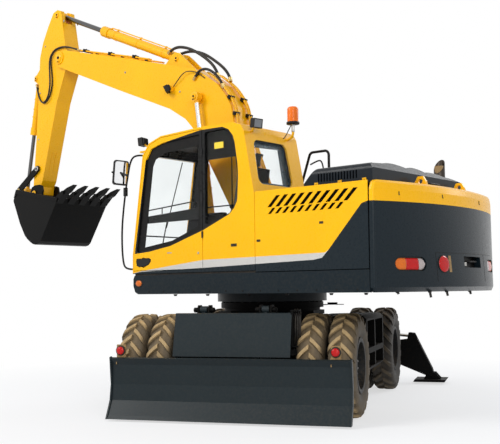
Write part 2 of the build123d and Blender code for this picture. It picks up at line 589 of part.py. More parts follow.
def save_body_panels():
    """Left louvred door, fixed panels, tank covers on the right, the hood and its deck."""
    v = SIDE_V
    door = slab_y([(-2152, 1486), (-2152, 2306), (-786, 2306), (-786, 1486)], v - 30, v)
    for slot in louvres(-950, 103, 2132, 2246, 52, 118, v, 10):
        door -= slot
    for slot in louvres(-955, 92, 2062, 2122, 42, 62, v, 10):
        door -= slot
    save("left_side_door", turned(door))
    # right side: step box, tank covers, then the rear door
    box_line = [(760, 1486), (760, 1560), (700, 1900), (250, 1900), (250, 1486)]
    box_core = [(735, 1510), (735, 1560), (680, 1878), (272, 1878), (272, 1510)]
    box = slab_y(box_line, -v, -560) - slab_y(box_core, -v + 20, -580)
    tank = [(240, 1486), (240, 2180), (200, 2230), (-980, 2306), (-980, 1486)]
    tank_core = [(218, 1510), (218, 2172), (190, 2208), (-958, 2282), (-958, 1510)]
    tanks = slab_y(tank, -v, -560) - slab_y(tank_core, -v + 20, -580)
    save("right_tank_covers", turned(box), turned(tanks))
    rear_door = slab_y([(-2152, 1486), (-2152, 2306), (-990, 2306), (-990, 1486)], -v, -v + 30)
    for slot in louvres(-1180, 95, 2060, 2220, 36, 56, -v + 40, 8):
        rear_door -= slot
    save("right_side_door", turned(rear_door))
    deck = block(-1335, -790, -552, v - 35, 2276, 2306) + block(-820, -790, -552, v - 35, 1486, 2280)
    deck += block(-2155, -990, -v + 35, HOOD_V[0] - 10, 2276, 2306) + block(-2155, -2125, -v + 45, v - 45, 1430, 2306)
    deck += block(-1335, -990, -v + 35, -540, 2276, 2306)
    save("engine_bay_frame", turned(deck))
    u0, u1 = HOOD_U
    hood = hood_solid(0) - hood_solid(16)
    hood -= block(u0 + 20, u1 - 20, HOOD_V[0] + 20, HOOD_V[1] - 20, 2300, 2340)
    for i in range(14):
        u = -1520 - i * 34
        hood -= block(u - 17, u, HOOD_V[1] - 40, HOOD_V[1] + 5, 2345, 2425)
    save("engine_hood", turned(hood))
    path = FilletPolyline((-140, -1000, 2200), (-140, -1000, 3055), (150, -1000, 3055),
                          (430, -1000, 2290), (430, -1000, 1900), radius=60)
    rail = sweep(Plane(origin=path @ 0, z_dir=path % 0) * Circle(17), path=path)
    save("handrail", turned(rail - slab_y(tank, -v, -560)))
    # exhaust pipe with a slanted mouth
    stack = disc_z(-1800, -800, 62, 2306, 2745) - disc_z(-1800, -800, 54, 2500, 2760)
    stack -= slab_x([(-730, 2560), (-870, 2756), (-730, 2756)], -1870, -1730)
    save("exhaust_pipe", turned(stack))
    shape = side_slab(cab_profile(), *CAB_V)
    lamp = Pos(905, 1120, 3000) * Box(80, 110, 90) + disc_z(890, 1120, 12, 2800, 2960)
    rear_lamp = Pos(-640, 1100, 3090) * Box(80, 100, 90) + disc_z(-610, 1100, 14, 2960, 3060)
    beacon = disc_z(-560, 560, 66, 3130, 3150) + disc_z(-560, 560, 56, 3150, 3280)
    beacon += disc_z(-560, 560, 20, 2990, 3135)
    save("roof_lamps", *[turned(item - shape) for item in (lamp, rear_lamp, beacon)])


# ---------------------------------------------------------------- working equipment

BOOM_TOP = [(3734, 4838), (2267, 4444), (1729, 4288), (1090, 4104), (900, 3990), (700, 3850),
            (565, 3695), (478, 3550), (440, 3380), (415, 3200), (-230, 1700)]
BOOM_BOTTOM = [(3732, 4555), (2550, 4063), (1538, 3654), (1250, 3480), (1105, 3330), (960, 3080),
               (60, 1560)]


def build_boom():
    w = BOOM_HALF_W
    nu, nz = BOOM_NOSE
    outline = [(nu + 60, nz + 110)] + BOOM_TOP + [(-190, 1570), (-100, 1510)] + BOOM_BOTTOM[::-1]
    outline += [(nu + 50, nz - 120), (nu + 125, nz - 10)]
    solid = slab_y(outline, -w, w)
    core = [(3300, 4660), (2267, 4425), (1729, 4268), (1100, 4083), (910, 3968), (714, 3830),
            (583, 3684), (498, 3542), (461, 3376), (434, 3190), (-100, 1900), (80, 1790), (945, 3095),
            (1090, 3345), (1240, 3500), (1530, 3674), (2550, 4083), (3300, 4395)]
    solid -= slab_y(core, 12 - w, w - 12)
    # fork at the nose for the arm
    gap = ARM_HALF_W + GAP
    solid -= slab_y([(3470, 4900), (3470, 4400), (4100, 4400), (4100, 5000)], -gap, gap)
    solid += disc_y(nu, nz, 95, w, w + 14) + disc_y(nu, nz, 95, -w - 14, -w)
    # lugs for the arm cylinder's base
    lug = [(1100, 4090), (1342, 4310), (1430, 4385), (1500, 4408), (1560, 4385), (1700, 4262)]
    for c in (-84, 84):
        solid += slab_y(lug, c - 10, c + 10)
    # bosses for the boom cylinders' rods
    solid += disc_y(*BOOM_CYL_PIN, 70, -w - 14, w + 14)
    save("boom", turned(solid))
    places = (BOOM_CYL_V, -BOOM_CYL_V)
    barrels = [barrel_xz(BOOM_CYL_BASE, BOOM_CYL_PIN, y, 1460, 57, 58, 42) for y in places]
    rods = [rod_xz(BOOM_CYL_BASE, BOOM_CYL_PIN, y, 1460, 57, 62, 42, 140) for y in places]
    save("boom_cylinder_barrels", *[turned(shape) for shape in barrels])
    save("boom_cylinder_rods", *[turned(shape) for shape in rods])


def build_arm():
    w = ARM_HALF_W
    outline = [(3880, 5470), (3960, 5500), (4060, 5470), (4193, 5270), (4310, 5060), (4380, 4850),
               (4420, 4150), (4460, 3600), (4520, 2950), (4532, 2785), (4507, 2723), (4445, 2698),
               (4383, 2723), (4365, 2790), (4352, 2880), (4296, 2970), (3960, 4120), (3764, 4549),
               (3700, 4700), (3700, 4800), (3760, 4900)]
    solid = slab_y(outline, -w, w)
    core = [(3960, 5250), (4120, 5220), (4250, 5030), (4330, 4830), (4376, 4150), (4416, 3600),
            (4430, 3330), (4260, 3330), (4000, 4130), (3880, 4400), (3960, 4600), (3990, 4800),
            (3900, 4950)]
    solid -= slab_y(core, 12 - w, w - 12)
    # two stiffening ribs along the lower part of the inner face
    rib = [(4180, 3400), (4291, 3020), (4282, 3014), (4166, 3392)]
    for c in (35, -35):
        solid += slab_y(rib, c - 9, c + 9)
    # gap between the cheeks for the arm cylinder's eye
    solid -= slab_y([(3700, 5560), (3700, 5290), (4100, 5290), (4160, 5560)], -62, 62)
    # lugs on the outer face for the bucket cylinder's base
    base_u, base_z = BUCKET_CYL_BASE
    lug = [(4370, base_z + 200), (base_u - 20, base_z + 60), (base_u + 45, base_z + 30),
           (base_u + 50, base_z - 30), (base_u, base_z - 62), (4390, base_z - 150)]
    for c in (-74, 74):
        solid += slab_y(lug, c - 10, c + 10)
    save("arm", turned(solid))
    save("arm_cylinder_barrel", turned(barrel_xz(ARM_CYL_BASE, ARM_CYL_PIN, 0, 1700, 66, 62, 66)))
    save("arm_cylinder_rod", turned(rod_xz(ARM_CYL_BASE, ARM_CYL_PIN, 0, 1700, 66, 56, 50, 430)))
    save("bucket_cylinder_barrel", turned(barrel_xz(BUCKET_CYL_BASE, ROCKER_END, 0, 860, 52, 50, 56)))
    save("bucket_cylinder_rod", turned(rod_xz(BUCKET_CYL_BASE, ROCKER_END, 0, 860, 52, 46, 46, 46)))
    rockers = []
    links = disc_y(4740, 2672, 34, -100, 100)
    for side in (1, -1):
        y0, y1 = sorted((side * (w + 12), side * (w + 34)))
        rocker = round_ended(ROCKER_PIN, ROCKER_END, 48, y0, y1)
        y0, y1 = sorted((side * 96, side * (w + 12)))
        rockers.append(rocker + disc_y(*ROCKER_END, 24, y0, y1))
        y0, y1 = sorted((side * 98, side * 120))
        links += round_ended(ROCKER_END, LINK_PIN, 42, y0, y1) - disc_y(*ROCKER_END, 24.3, y0 - 1, y1 + 1)
    save("bucket_rocker", *[turned(shape) for shape in rockers])
    save("bucket_link", turned(links))


def build_bucket():
    w = BUCKET_HALF_W
    ear_in, ear_out = ARM_HALF_W + 8, ARM_HALF_W + 34
    outer = [(3494, 2620), (3892, 2030), (3945, 1995), (4010, 1985), (4075, 1998), (4137, 2030),
             (4208, 2075), (4270, 2130), (4391, 2310), (4561, 2658)]
    inner = [(4543, 2666), (4372, 2318), (4256, 2146), (4197, 2092), (4130, 2050), (4070, 2020),
             (4010, 2008), (3953, 2016), (3905, 2048), (3516, 2636)]
    solid = slab_y(outer + inner, -w, w)
    # between the ears the shell steps back from the arm's end
    step = [(4336, 2760), (4424, 2472), (4420, 2370), (4560, 2370), (4700, 2700), (4500, 2900)]
    solid -= slab_y(step, -ear_in, ear_in)
    recess = [(4336, 2760), (4424, 2472), (4416, 2372), (4385, 2300), (4366, 2312), (4394, 2376),
              (4402, 2470), (4316, 2752)]
    solid += slab_y(recess, -ear_out, ear_out)
    side_plate = outer + [(4488, 2819)]
    strip = [(3494, 2620), (3525, 2570), (4470, 2750), (4540, 2700), (4488, 2819), (4460, 2816)]
    ear = [(4268, 2738), (4252, 2810), (4270, 2885), (4330, 2906), (4445, 2905), (4520, 2880),
           (4560, 2800), (4672, 2500), (4660, 2430), (4610, 2405), (4405, 2340), (4402, 2470)]
    for side in (1, -1):
        y0, y1 = sorted((side * w, side * (w - 16)))
        solid += slab_y(side_plate, y0, y1)
        y0, y1 = sorted((side * (w + 10), side * (w - 24)))
        solid += slab_y(strip, y0, y1)
        y0, y1 = sorted((side * ear_in, side * ear_out))
        solid += slab_y(ear, y0, y1)
    # five teeth: a broad adapter on the lip, and a narrower point
    adapter = [(3540, 2550), (3556, 2640), (3420, 2716), (3370, 2718), (3390, 2672)]
    point = [(3400, 2660), (3400, 2722), (3330, 2752), (3180, 2786), (3300, 2694)]
    for i in range(5):
        y = -w + 60 + i * (2 * w - 120) / 4
        solid += slab_y(adapter, y - 56, y + 56) + slab_y(point, y - 36, y + 36)
    save("bucket", turned(solid))


build_wheels()
build_undercarriage()
build_side_steps()
build_blade()
build_stabilisers()
build_cab()
build_upper()
build_boom()
build_arm()
build_bucket()
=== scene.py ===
import bpy
import bmesh
from math import cos, pi, radians, sin, sqrt
from mathutils import Matrix, Vector


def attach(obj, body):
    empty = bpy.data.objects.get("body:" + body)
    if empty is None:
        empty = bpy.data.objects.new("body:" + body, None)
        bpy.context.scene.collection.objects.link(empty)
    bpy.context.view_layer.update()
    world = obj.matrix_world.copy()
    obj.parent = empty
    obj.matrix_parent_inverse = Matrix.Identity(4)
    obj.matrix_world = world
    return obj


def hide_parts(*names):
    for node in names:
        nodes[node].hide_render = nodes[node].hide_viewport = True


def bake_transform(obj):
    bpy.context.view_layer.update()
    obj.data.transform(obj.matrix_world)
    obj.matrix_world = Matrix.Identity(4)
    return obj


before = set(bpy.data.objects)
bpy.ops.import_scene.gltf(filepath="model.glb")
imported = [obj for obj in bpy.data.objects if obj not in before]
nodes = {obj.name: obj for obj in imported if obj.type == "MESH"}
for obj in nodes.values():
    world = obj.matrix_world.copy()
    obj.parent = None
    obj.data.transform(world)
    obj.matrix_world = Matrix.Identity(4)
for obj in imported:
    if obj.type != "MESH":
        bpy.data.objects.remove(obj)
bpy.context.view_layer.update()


def shift(x, y, z):
    return Matrix.Translation((x, y, z))


def turned(degrees, axis):
    return Matrix.Rotation(radians(degrees), 4, axis)


def toward(direction, forward="Z", up="Y"):
    """The turn that points the forward axis in a direction."""
    return Vector(direction).to_track_quat(forward, up).to_matrix().to_4x4()


# the upper structure has its own axes: u forward, v left, z up
SWING = radians(66)
UPPER = Matrix.Rotation(SWING, 4, "Z")
IDENTITY = Matrix.Identity(4)
SIDES = (("left", 1), ("right", -1))
SIDE_V = 1.225
REAR_X, FRONT_X, AXLE_Z = -1.11, 1.545, 0.527
INNER_Y, OUTER_Y = 0.795, 1.105

# ------------------------------------------------------------------ materials


class Graph:
    """A short way to write a material's nodes."""

    def __init__(self, name):
        self.mat = bpy.data.materials.new(name)
        self.mat.use_nodes = True
        self.tree = self.mat.node_tree
        self.bsdf = self.tree.nodes["Principled BSDF"]

    def node(self, kind, **settings):
        made = self.tree.nodes.new(kind)
        for key, value in settings.items():
            setattr(made, key, value)
        return made

    def put(self, socket, value):
        if isinstance(value, bpy.types.NodeSocket):
            self.tree.links.new(value, socket)
        else:
            socket.default_value = value

    def fix(self, made, **values):
        """Plain values on a node's sockets, where an underscore stands for a space."""
        for key, value in values.items():
            made.inputs[key.replace("_", " ")].default_value = value

    def surface(self, colour, rough, **values):
        self.put(self.bsdf.inputs["Base Color"], colour)
        self.put(self.bsdf.inputs["Roughness"], rough)
        self.fix(self.bsdf, **values)

    def math(self, operation, *values):
        made = self.node("ShaderNodeMath", operation=operation)
        for socket, value in zip(made.inputs, values):
            self.put(socket, value)
        return made.outputs[0]

    def add(self, a, b):
        return self.math("ADD", a, b)

    def times(self, first, *others):
        for other in others:
            first = self.math("MULTIPLY", first, other)
        return first

    def less(self, a, b):
        return self.math("LESS_THAN", a, b)

    def distance(self, a, b):
        return self.math("SQRT", self.add(self.times(a, a), self.times(b, b)))

    def mix(self, factor, a, b, blend="MIX"):
        made = self.node("ShaderNodeMix", data_type="RGBA", blend_type=blend)
        self.put(made.inputs[0], factor)
        for socket, colour in ((made.inputs[6], a), (made.inputs[7], b)):
            self.put(socket, colour if isinstance(colour, bpy.types.NodeSocket) else (*colour, 1))
        return made.outputs[2]

    def noise(self, coords, scale, detail=4, roughness=0.5):
        made = self.node("ShaderNodeTexNoise")
        self.put(made.inputs["Vector"], coords)
        self.fix(made, Scale=scale, Detail=detail, Roughness=roughness)
        return made.outputs["Fac"]

    def span(self, value, low, high, out_low=0.0, out_high=1.0):
        made = self.node("ShaderNodeMapRange")
        for i, number in enumerate((value, low, high, out_low, out_high)):
            self.put(made.inputs[i], number)
        return made.outputs[0]

    def fade(self, value, low, high, most, a, b):
        """From a towards b as the value goes from low to high."""
        return self.mix(self.span(value, low, high, 0.0, most), a, b)

    def line(self, value, points, low=1.4, high=3.2):
        """A height as a function of value, straight between the points (value, height)."""
        points = sorted(points)
        first, last = points[0][0], points[-1][0]
        ramp = self.node("ShaderNodeValToRGB")
        self.put(ramp.inputs[0], self.span(value, first, last))
        stops = ramp.color_ramp.elements
        while len(stops) < len(points):
            stops.new(0.5)
        for stop, point in zip(stops, points):
            stop.position = (point[0] - first) / (last - first)
        for stop, point in zip(stops, points):
            shade = (point[1] - low) / (high - low)
            stop.color = (shade, shade, shade, 1)
        return self.math("MULTIPLY_ADD", ramp.outputs[0], high - low, low)

    def coords(self, upper=False):
        place = self.node("ShaderNodeTexCoord").outputs["Object"]
        if upper:
            mapping = self.node("ShaderNodeMapping")
            self.put(mapping.inputs["Vector"], place)
            self.fix(mapping, Rotation=(0, 0, -SWING))
            place = mapping.outputs[0]
        return place

    def axes(self, vector):
        made = self.node("ShaderNodeSeparateXYZ")
        self.put(made.inputs[0], vector)
        return made.outputs

    def bump(self, height, strength, distance):
        """The last step of each material, and so it gives the material back."""
        made = self.node("ShaderNodeBump")
        self.fix(made, Strength=strength, Distance=distance)
        self.put(made.inputs["Height"], height)
        self.put(self.bsdf.inputs["Normal"], made.outputs[0])
        return self.mat


YELLOW = (0.92, 0.462, 0.004)
NAVY = (0.0062, 0.0125, 0.017)
STRIPE = (0.56, 0.54, 0.5)
DUST = (0.3, 0.22, 0.13)
SURROUND = (0.0075, 0.0078, 0.008)
# near-black painted shade for the faces inside the cab
CAB_INSIDE_SHADE = (0.006, 0.006, 0.0065)
DARK_EYE = (0.012, 0.013, 0.014)


def dim(colour, share):
    return tuple(c * share for c in colour)


def finish_paint(g, colour, place, rough, dust, coat=0.04, gloss=0.16):
    """Cloudy tone, settled dust, a few scuffs and orange peel on any paint."""
    cloud = g.noise(place, 1.7, 3, 0.6)
    fine = g.noise(place, 38, 5, 0.65)
    tone = g.fade(cloud, 0.3, 0.7, 0.22, colour, g.mix(1.0, colour, (0.72, 0.7, 0.7), "MULTIPLY"))
    facing_up = g.axes(g.node("ShaderNodeNewGeometry").outputs["Normal"])[2]
    level = g.add(g.times(g.span(facing_up, 0.2, 1.0), 0.7), 0.3)
    settled = g.times(level, g.span(fine, 0.42, 0.75, 0.0, dust))
    uneven = g.add(g.span(fine, 0.3, 0.7, rough - 0.05, rough + 0.08), g.times(settled, 0.4))
    g.surface(g.mix(settled, tone, DUST), uneven,
              Coat_Weight=coat, Coat_Roughness=0.12, Specular_IOR_Level=gloss)
    return g.bump(g.noise(place, 420, 2), 0.1, 0.0004)


def paint(name, colour, rough=0.34, dust=0.12, coat=0.02, gloss=0.12):
    g = Graph(name)
    return finish_paint(g, colour, g.coords(), rough, dust, coat, gloss)


def livery(name, surround=False, inner=False):
    """Yellow over navy with a pale stripe between, and on the cab the black surround of its side windows;
    near-black painted shade on the side doors' inner faces and inside the cab.
    """
    g = Graph(name)
    place = g.coords(upper=True)
    u, v, z = g.axes(place)
    rear_end = [(-2.7, 2.115), (-2.15, 2.112), (-2.083, 2.094)]
    dark_line = [*rear_end, (-1.69, 1.665), (-1.62, 1.6), (-1.52, 1.585), (-0.05, 1.543), (0.93, 1.522),
                 (1.08, 1.505)]
    pale_line = [*rear_end, (-1.7, 1.676), (-1.66, 1.65), (-0.05, 1.628), (0.9, 1.532), (1.08, 1.505)]
    below_dark, below_pale = (g.less(z, g.line(u, line)) for line in (dark_line, pale_line))
    colour = g.mix(below_pale, YELLOW, STRIPE)
    colour = g.mix(below_dark, colour, NAVY)
    # painted shade: the side door's faces inside its outer skin, in the slots and behind, are painted
    # near-black
    if inner:
        behind = g.less(g.math("ABSOLUTE", v), SIDE_V - 0.0055)
        colour = g.mix(behind, colour, (0.006, 0.006, 0.006))
    if surround:
        rear, front, face = -0.5635, 1.035, 1.176
        top = [(rear, 2.5), (-0.56, 2.6), (-0.52, 2.85), (-0.495, 2.925), (-0.43, 3.0), (-0.347, 3.035),
               (-0.023, 3.04), (0.523, 2.972), (0.72, 2.89), (0.846, 2.8), (front, 1.735)]
        bottom = [(rear, 2.5), (-0.549, 2.236), (-0.5, 2.155), (-0.435, 2.097), (-0.057, 1.949),
                  (0.451, 1.798), (0.8, 1.745), (front, 1.728)]
        inside = g.times(g.less(z, g.line(u, top)), g.less(g.line(u, bottom), z),
                         g.less(rear, u), g.less(u, front), g.less(face, v))
        colour = g.mix(inside, colour, SURROUND)
        # painted shade: every face inside the cab, between its rear wall and windscreen and under the roof,
        # is painted near-black
        rear_wall = g.line(z, [(1.5, -0.757), (2.27, -0.757), (2.96, -0.622), (3.03, -0.575)], -1.0, 0.0)
        windscreen = [(1.5, 1.045), (1.72, 1.045), (2.86, 0.875), (2.99, 0.77), (3.04, 0.6)]
        front_wall = g.line(z, windscreen, 0.0, 1.2)
        lining = g.times(g.less(0.36, v), g.less(v, 1.19), g.less(rear_wall, u), g.less(u, front_wall),
                         g.less(z, 3.035))
        colour = g.mix(lining, colour, CAB_INSIDE_SHADE)
    return finish_paint(g, colour, place, 0.28, 0.025)


def rubber(name, colour=(0.014, 0.014, 0.014), dust=0.5, rough=0.75):
    g = Graph(name)
    place = g.coords()
    patch = g.noise(place, 9, 6, 0.7)
    g.surface(g.fade(patch, 0.35, 0.75, dust, colour, DUST),
              g.span(patch, 0.2, 0.8, rough - 0.08, rough + 0.12), Specular_IOR_Level=0.2)
    return g.bump(g.noise(place, 260, 3), 0.3, 0.0008)


def tyre_rubber(name, dust):
    """Old dusty tread rubber: tan on what rises, with painted shade darkening the grooves, and darker on the
    flanks.
    """
    g = Graph(name)
    place = g.coords()
    x, y, z = g.axes(place)
    radius = g.distance(x, z)
    patch = g.noise(place, 12, 7, 0.7)
    tone = g.fade(radius, 0.3, 0.47, 1.0, (0.03, 0.027, 0.022), (0.085, 0.062, 0.034))
    # painted shade: the groove floors, below the lug tops, stay dark
    tone = g.fade(radius, 0.492, 0.522, 1.0, tone, (0.43, 0.295, 0.135))
    tone = g.fade(patch, 0.38, 0.72, 0.55, tone, (0.17, 0.12, 0.065))
    # a dust value below 1 mixes towards near-black, which paints the front tyres darker as shade
    g.surface(g.mix(dust, (0.016, 0.015, 0.014), tone), g.span(patch, 0.2, 0.8, 0.62, 0.9))
    return g.bump(g.noise(place, 90, 6, 0.7), 0.35, 0.003)


def metal(name, colour, rough=0.2, streak=(1, 1, 14)):
    g = Graph(name)
    stretch = g.node("ShaderNodeMapping")
    g.put(stretch.inputs["Vector"], g.coords())
    g.fix(stretch, Scale=streak)
    grain = g.noise(stretch.outputs[0], 60, 4)
    g.surface(g.fade(grain, 0.3, 0.7, 0.35, colour, dim(colour, 0.7)),
              g.span(grain, 0.2, 0.8, max(0.03, rough - 0.08), rough + 0.08), Metallic=1.0)
    return g.bump(grain, 0.05, 0.0003)


def plastic(name, colour, rough=0.5, grain=900):
    g = Graph(name)
    place = g.coords()
    cloud = g.noise(place, 6, 4)
    paler = tuple(min(1, c * 1.5 + 0.004) for c in colour)
    g.surface(g.fade(cloud, 0.3, 0.7, 0.3, colour, paler),
              g.span(cloud, 0.2, 0.8, rough - 0.06, rough + 0.08), Specular_IOR_Level=0.22)
    return g.bump(g.noise(place, grain, 3), 0.18, 0.0004)


def fabric(name, colour):
    g = Graph(name)
    place = g.coords()
    x, y, z = g.axes(place)
    threads = 1700
    warp = g.math("SINE", g.times(g.add(x, y), threads))
    weft = g.math("SINE", g.times(g.math("SUBTRACT", g.add(y, z), x), threads))
    weave = g.times(warp, weft)
    g.surface(g.fade(weave, -1, 1, 1.0, colour, dim(colour, 1.9)),
              g.span(g.noise(place, 14, 5), 0.2, 0.8, 0.82, 0.97), Sheen_Weight=0.35)
    return g.bump(weave, 0.35, 0.0006)


def lens(name, colour, glow=0.0):
    """A ribbed coloured lamp lens."""
    g = Graph(name)
    place = g.coords()
    x, y, z = g.axes(place)
    dirt = g.noise(place, 25, 4)
    g.surface(g.fade(dirt, 0.45, 0.8, 0.25, colour, dim(colour, 0.45)), g.span(dirt, 0.2, 0.8, 0.1, 0.22),
              Coat_Weight=0.06, Coat_Roughness=0.1, Specular_IOR_Level=0.25,
              Emission_Color=(*colour, 1), Emission_Strength=glow)
    return g.bump(g.math("SINE", g.times(z, 700)), 0.25, 0.0012)


def clear_glass(name, tint):
    g = Graph(name)
    film = g.noise(g.coords(), 2.2, 4)
    g.surface(g.fade(film, 0.35, 0.75, 1.0, tint, dim(tint, 0.93)), g.span(film, 0.3, 0.8, 0.0, 0.035),
              Transmission_Weight=1.0, IOR=1.12)
    return g.mat


def rod_finish(name, eye, radius, colour, stem_reflection_tone):
    """Chrome on a rod's stem, its tone set per rod as painted reflection, and paint on its eye; eye is
    (across, height) of the pin line.
    """
    g = Graph(f"{name}_finish")
    place = g.coords(upper=not name.startswith(("blade", "stabiliser")))
    x, y, z = g.axes(place)
    across = y if name.startswith("stabiliser") else x
    from_pin = g.distance(g.math("SUBTRACT", across, eye[0]), g.math("SUBTRACT", z, eye[1]))
    painted = g.less(from_pin, radius)
    grain = g.noise(place, 90, 4)
    film = g.noise(place, 14, 5)
    # painted reflection: the stem's tone, dark on the arm and bucket rods, light on the others
    stem = g.fade(film, 0.4, 0.7, 0.35, (stem_reflection_tone,) * 3, dim((0.62, 0.58, 0.52), stem_reflection_tone))
    eye_tone = g.fade(film, 0.4, 0.75, 0.3, colour, dim(colour, 0.65))
    g.put(g.bsdf.inputs["Metallic"], g.math("SUBTRACT", 1.0, painted))
    g.surface(g.mix(painted, stem, eye_tone),
              g.add(g.span(grain, 0.2, 0.8, 0.07, 0.15), g.times(painted, 0.25)))
    return g.bump(grain, 0.04, 0.0003)


# name, pin line (across, height), painted radius, paint, tone of the stem, which paints the chrome's
# reflection dark or light per rod
ROD_EYES = (
    ("boom_cylinder_rods", (0.985, 3.715), 0.085, YELLOW, 0.8),
    ("arm_cylinder_rod", (3.965, 5.425), 0.085, YELLOW, 0.14),
    ("bucket_cylinder_rod", (4.855, 2.862), 0.075, YELLOW, 0.14),
    ("blade_cylinder_rods", (-1.53, 0.286), 0.06, DARK_EYE, 0.6),
    ("stabiliser_rod_left", (1.35, 0.64), 0.045, DARK_EYE, 0.6),
    ("stabiliser_rod_right", (-1.35, 0.64), 0.045, DARK_EYE, 0.6),
)

# after the colour: roughness, dust, coat and gloss of a paint
M = {
    "yellow": paint("yellow_paint_gloss", YELLOW, 0.28, 0.03, 0.06, 0.22),
    "livery": livery("body_livery"),
    "cab": livery("cab_livery_inside_shade", surround=True),
    "panel": livery("side_door_livery_inside_shade", inner=True),
    "navy": paint("navy_paint_gloss", NAVY, 0.33),
    "frame": paint("black_paint_dusty", (0.0028, 0.003, 0.0032), 0.5, 0.06, 0.0, 0.06),
    "blade": paint("blade_paint_dusty", (0.0098, 0.0165, 0.0195), 0.4, 0.07, 0.03, 0.18),
    "step": paint("step_paint_dusty", (0.004, 0.004, 0.004), 0.6, 0.12, 0.0, 0.06),
    "tan": paint("bracket_paint_tan", (0.3, 0.19, 0.08), 0.5, 0.3, 0.0, 0.2),
    "black": paint("black_paint_satin", (0.0045, 0.0046, 0.0048), 0.38, 0.1),
    "hood": paint("hood_paint_satin", (0.0045, 0.008, 0.012), 0.34, 0.03, 0.04, 0.16),
    "bucket": paint("bucket_paint_worn", (0.0032, 0.0034, 0.0036), 0.42, 0.05, 0.0, 0.08),
    "rim": paint("rim_paint_dusty", (0.014, 0.015, 0.016), 0.5, 0.3, 0.0, 0.2),
    "engine": paint("engine_casting_grey", (0.05, 0.055, 0.06), 0.6, 0.3, 0.0),
    "tinted_edge": paint("window_edge_blue_black", (0.01, 0.03, 0.046), 0.25, 0.03, 0.1, 0.3),
    "label": paint("label_yellow_plain", (0.9, 0.62, 0.06), 0.45, 0.05, 0.0),
    "tyre": tyre_rubber("tyre_rubber_dusty_groove_shade", 1.0),
    # the front tyres: the same rubber painted darker as shade
    "tyre_painted_shade": tyre_rubber("tyre_rubber_painted_shade", 0.16),
    "rubber": rubber("rubber_black", dust=0.12),
    "hose": rubber("hose_rubber", (0.012, 0.012, 0.012), 0.1, 0.45),
    "steel": metal("worn_steel", (0.42, 0.41, 0.39), 0.38),
    "exhaust": metal("exhaust_steel_heat", (0.06, 0.05, 0.042), 0.42),
    "brass": metal("brass_fitting", (0.55, 0.4, 0.16), 0.35),
    "mirror": metal("mirror_silver", (0.9, 0.91, 0.92), 0.02, (1, 1, 1)),
    "plastic": plastic("cab_plastic_grained", (0.0075, 0.0075, 0.008)),
    "screen": plastic("monitor_screen_dark", (0.006, 0.01, 0.014), 0.12, 30),
    "fabric": fabric("seat_fabric_woven", (0.02, 0.022, 0.026)),
    # its faint glow suits the lamps; on the reflector and the seat belt anchors, which are no lamps, it is
    # painted glow
    "red": lens("lamp_red", (0.46, 0.003, 0.003), 0.04),
    "amber": lens("lamp_amber", (0.62, 0.13, 0.008), 0.04),
    "clear": lens("lamp_clear", (0.42, 0.36, 0.34)),
    "lamp_glass": lens("lamp_reflector_grey", (0.2, 0.21, 0.22)),
    "beacon": lens("beacon_orange", (0.82, 0.16, 0.006), 0.06),
    "glass": clear_glass("window_glass_clear", (0.965, 0.985, 0.985)),
}
for rod_name, *rod_look in ROD_EYES:
    M[rod_name] = rod_finish(rod_name, *rod_look)

# ------------------------------------------------------------------ mesh helpers


def edge_modifier(obj, width, segments, angle):
    modifier = obj.modifiers.new("edge", "BEVEL")
    modifier.width = width
    modifier.segments = segments
    modifier.limit_method = "ANGLE"
    modifier.angle_limit = radians(angle)
    modifier.harden_normals = True


def set_smooth(mesh, smooth=True):
    for polygon in mesh.polygons:
        polygon.use_smooth = smooth


def link_object(name, data):
    obj = bpy.data.objects.new(name, data)
    bpy.context.scene.collection.objects.link(obj)
    return obj


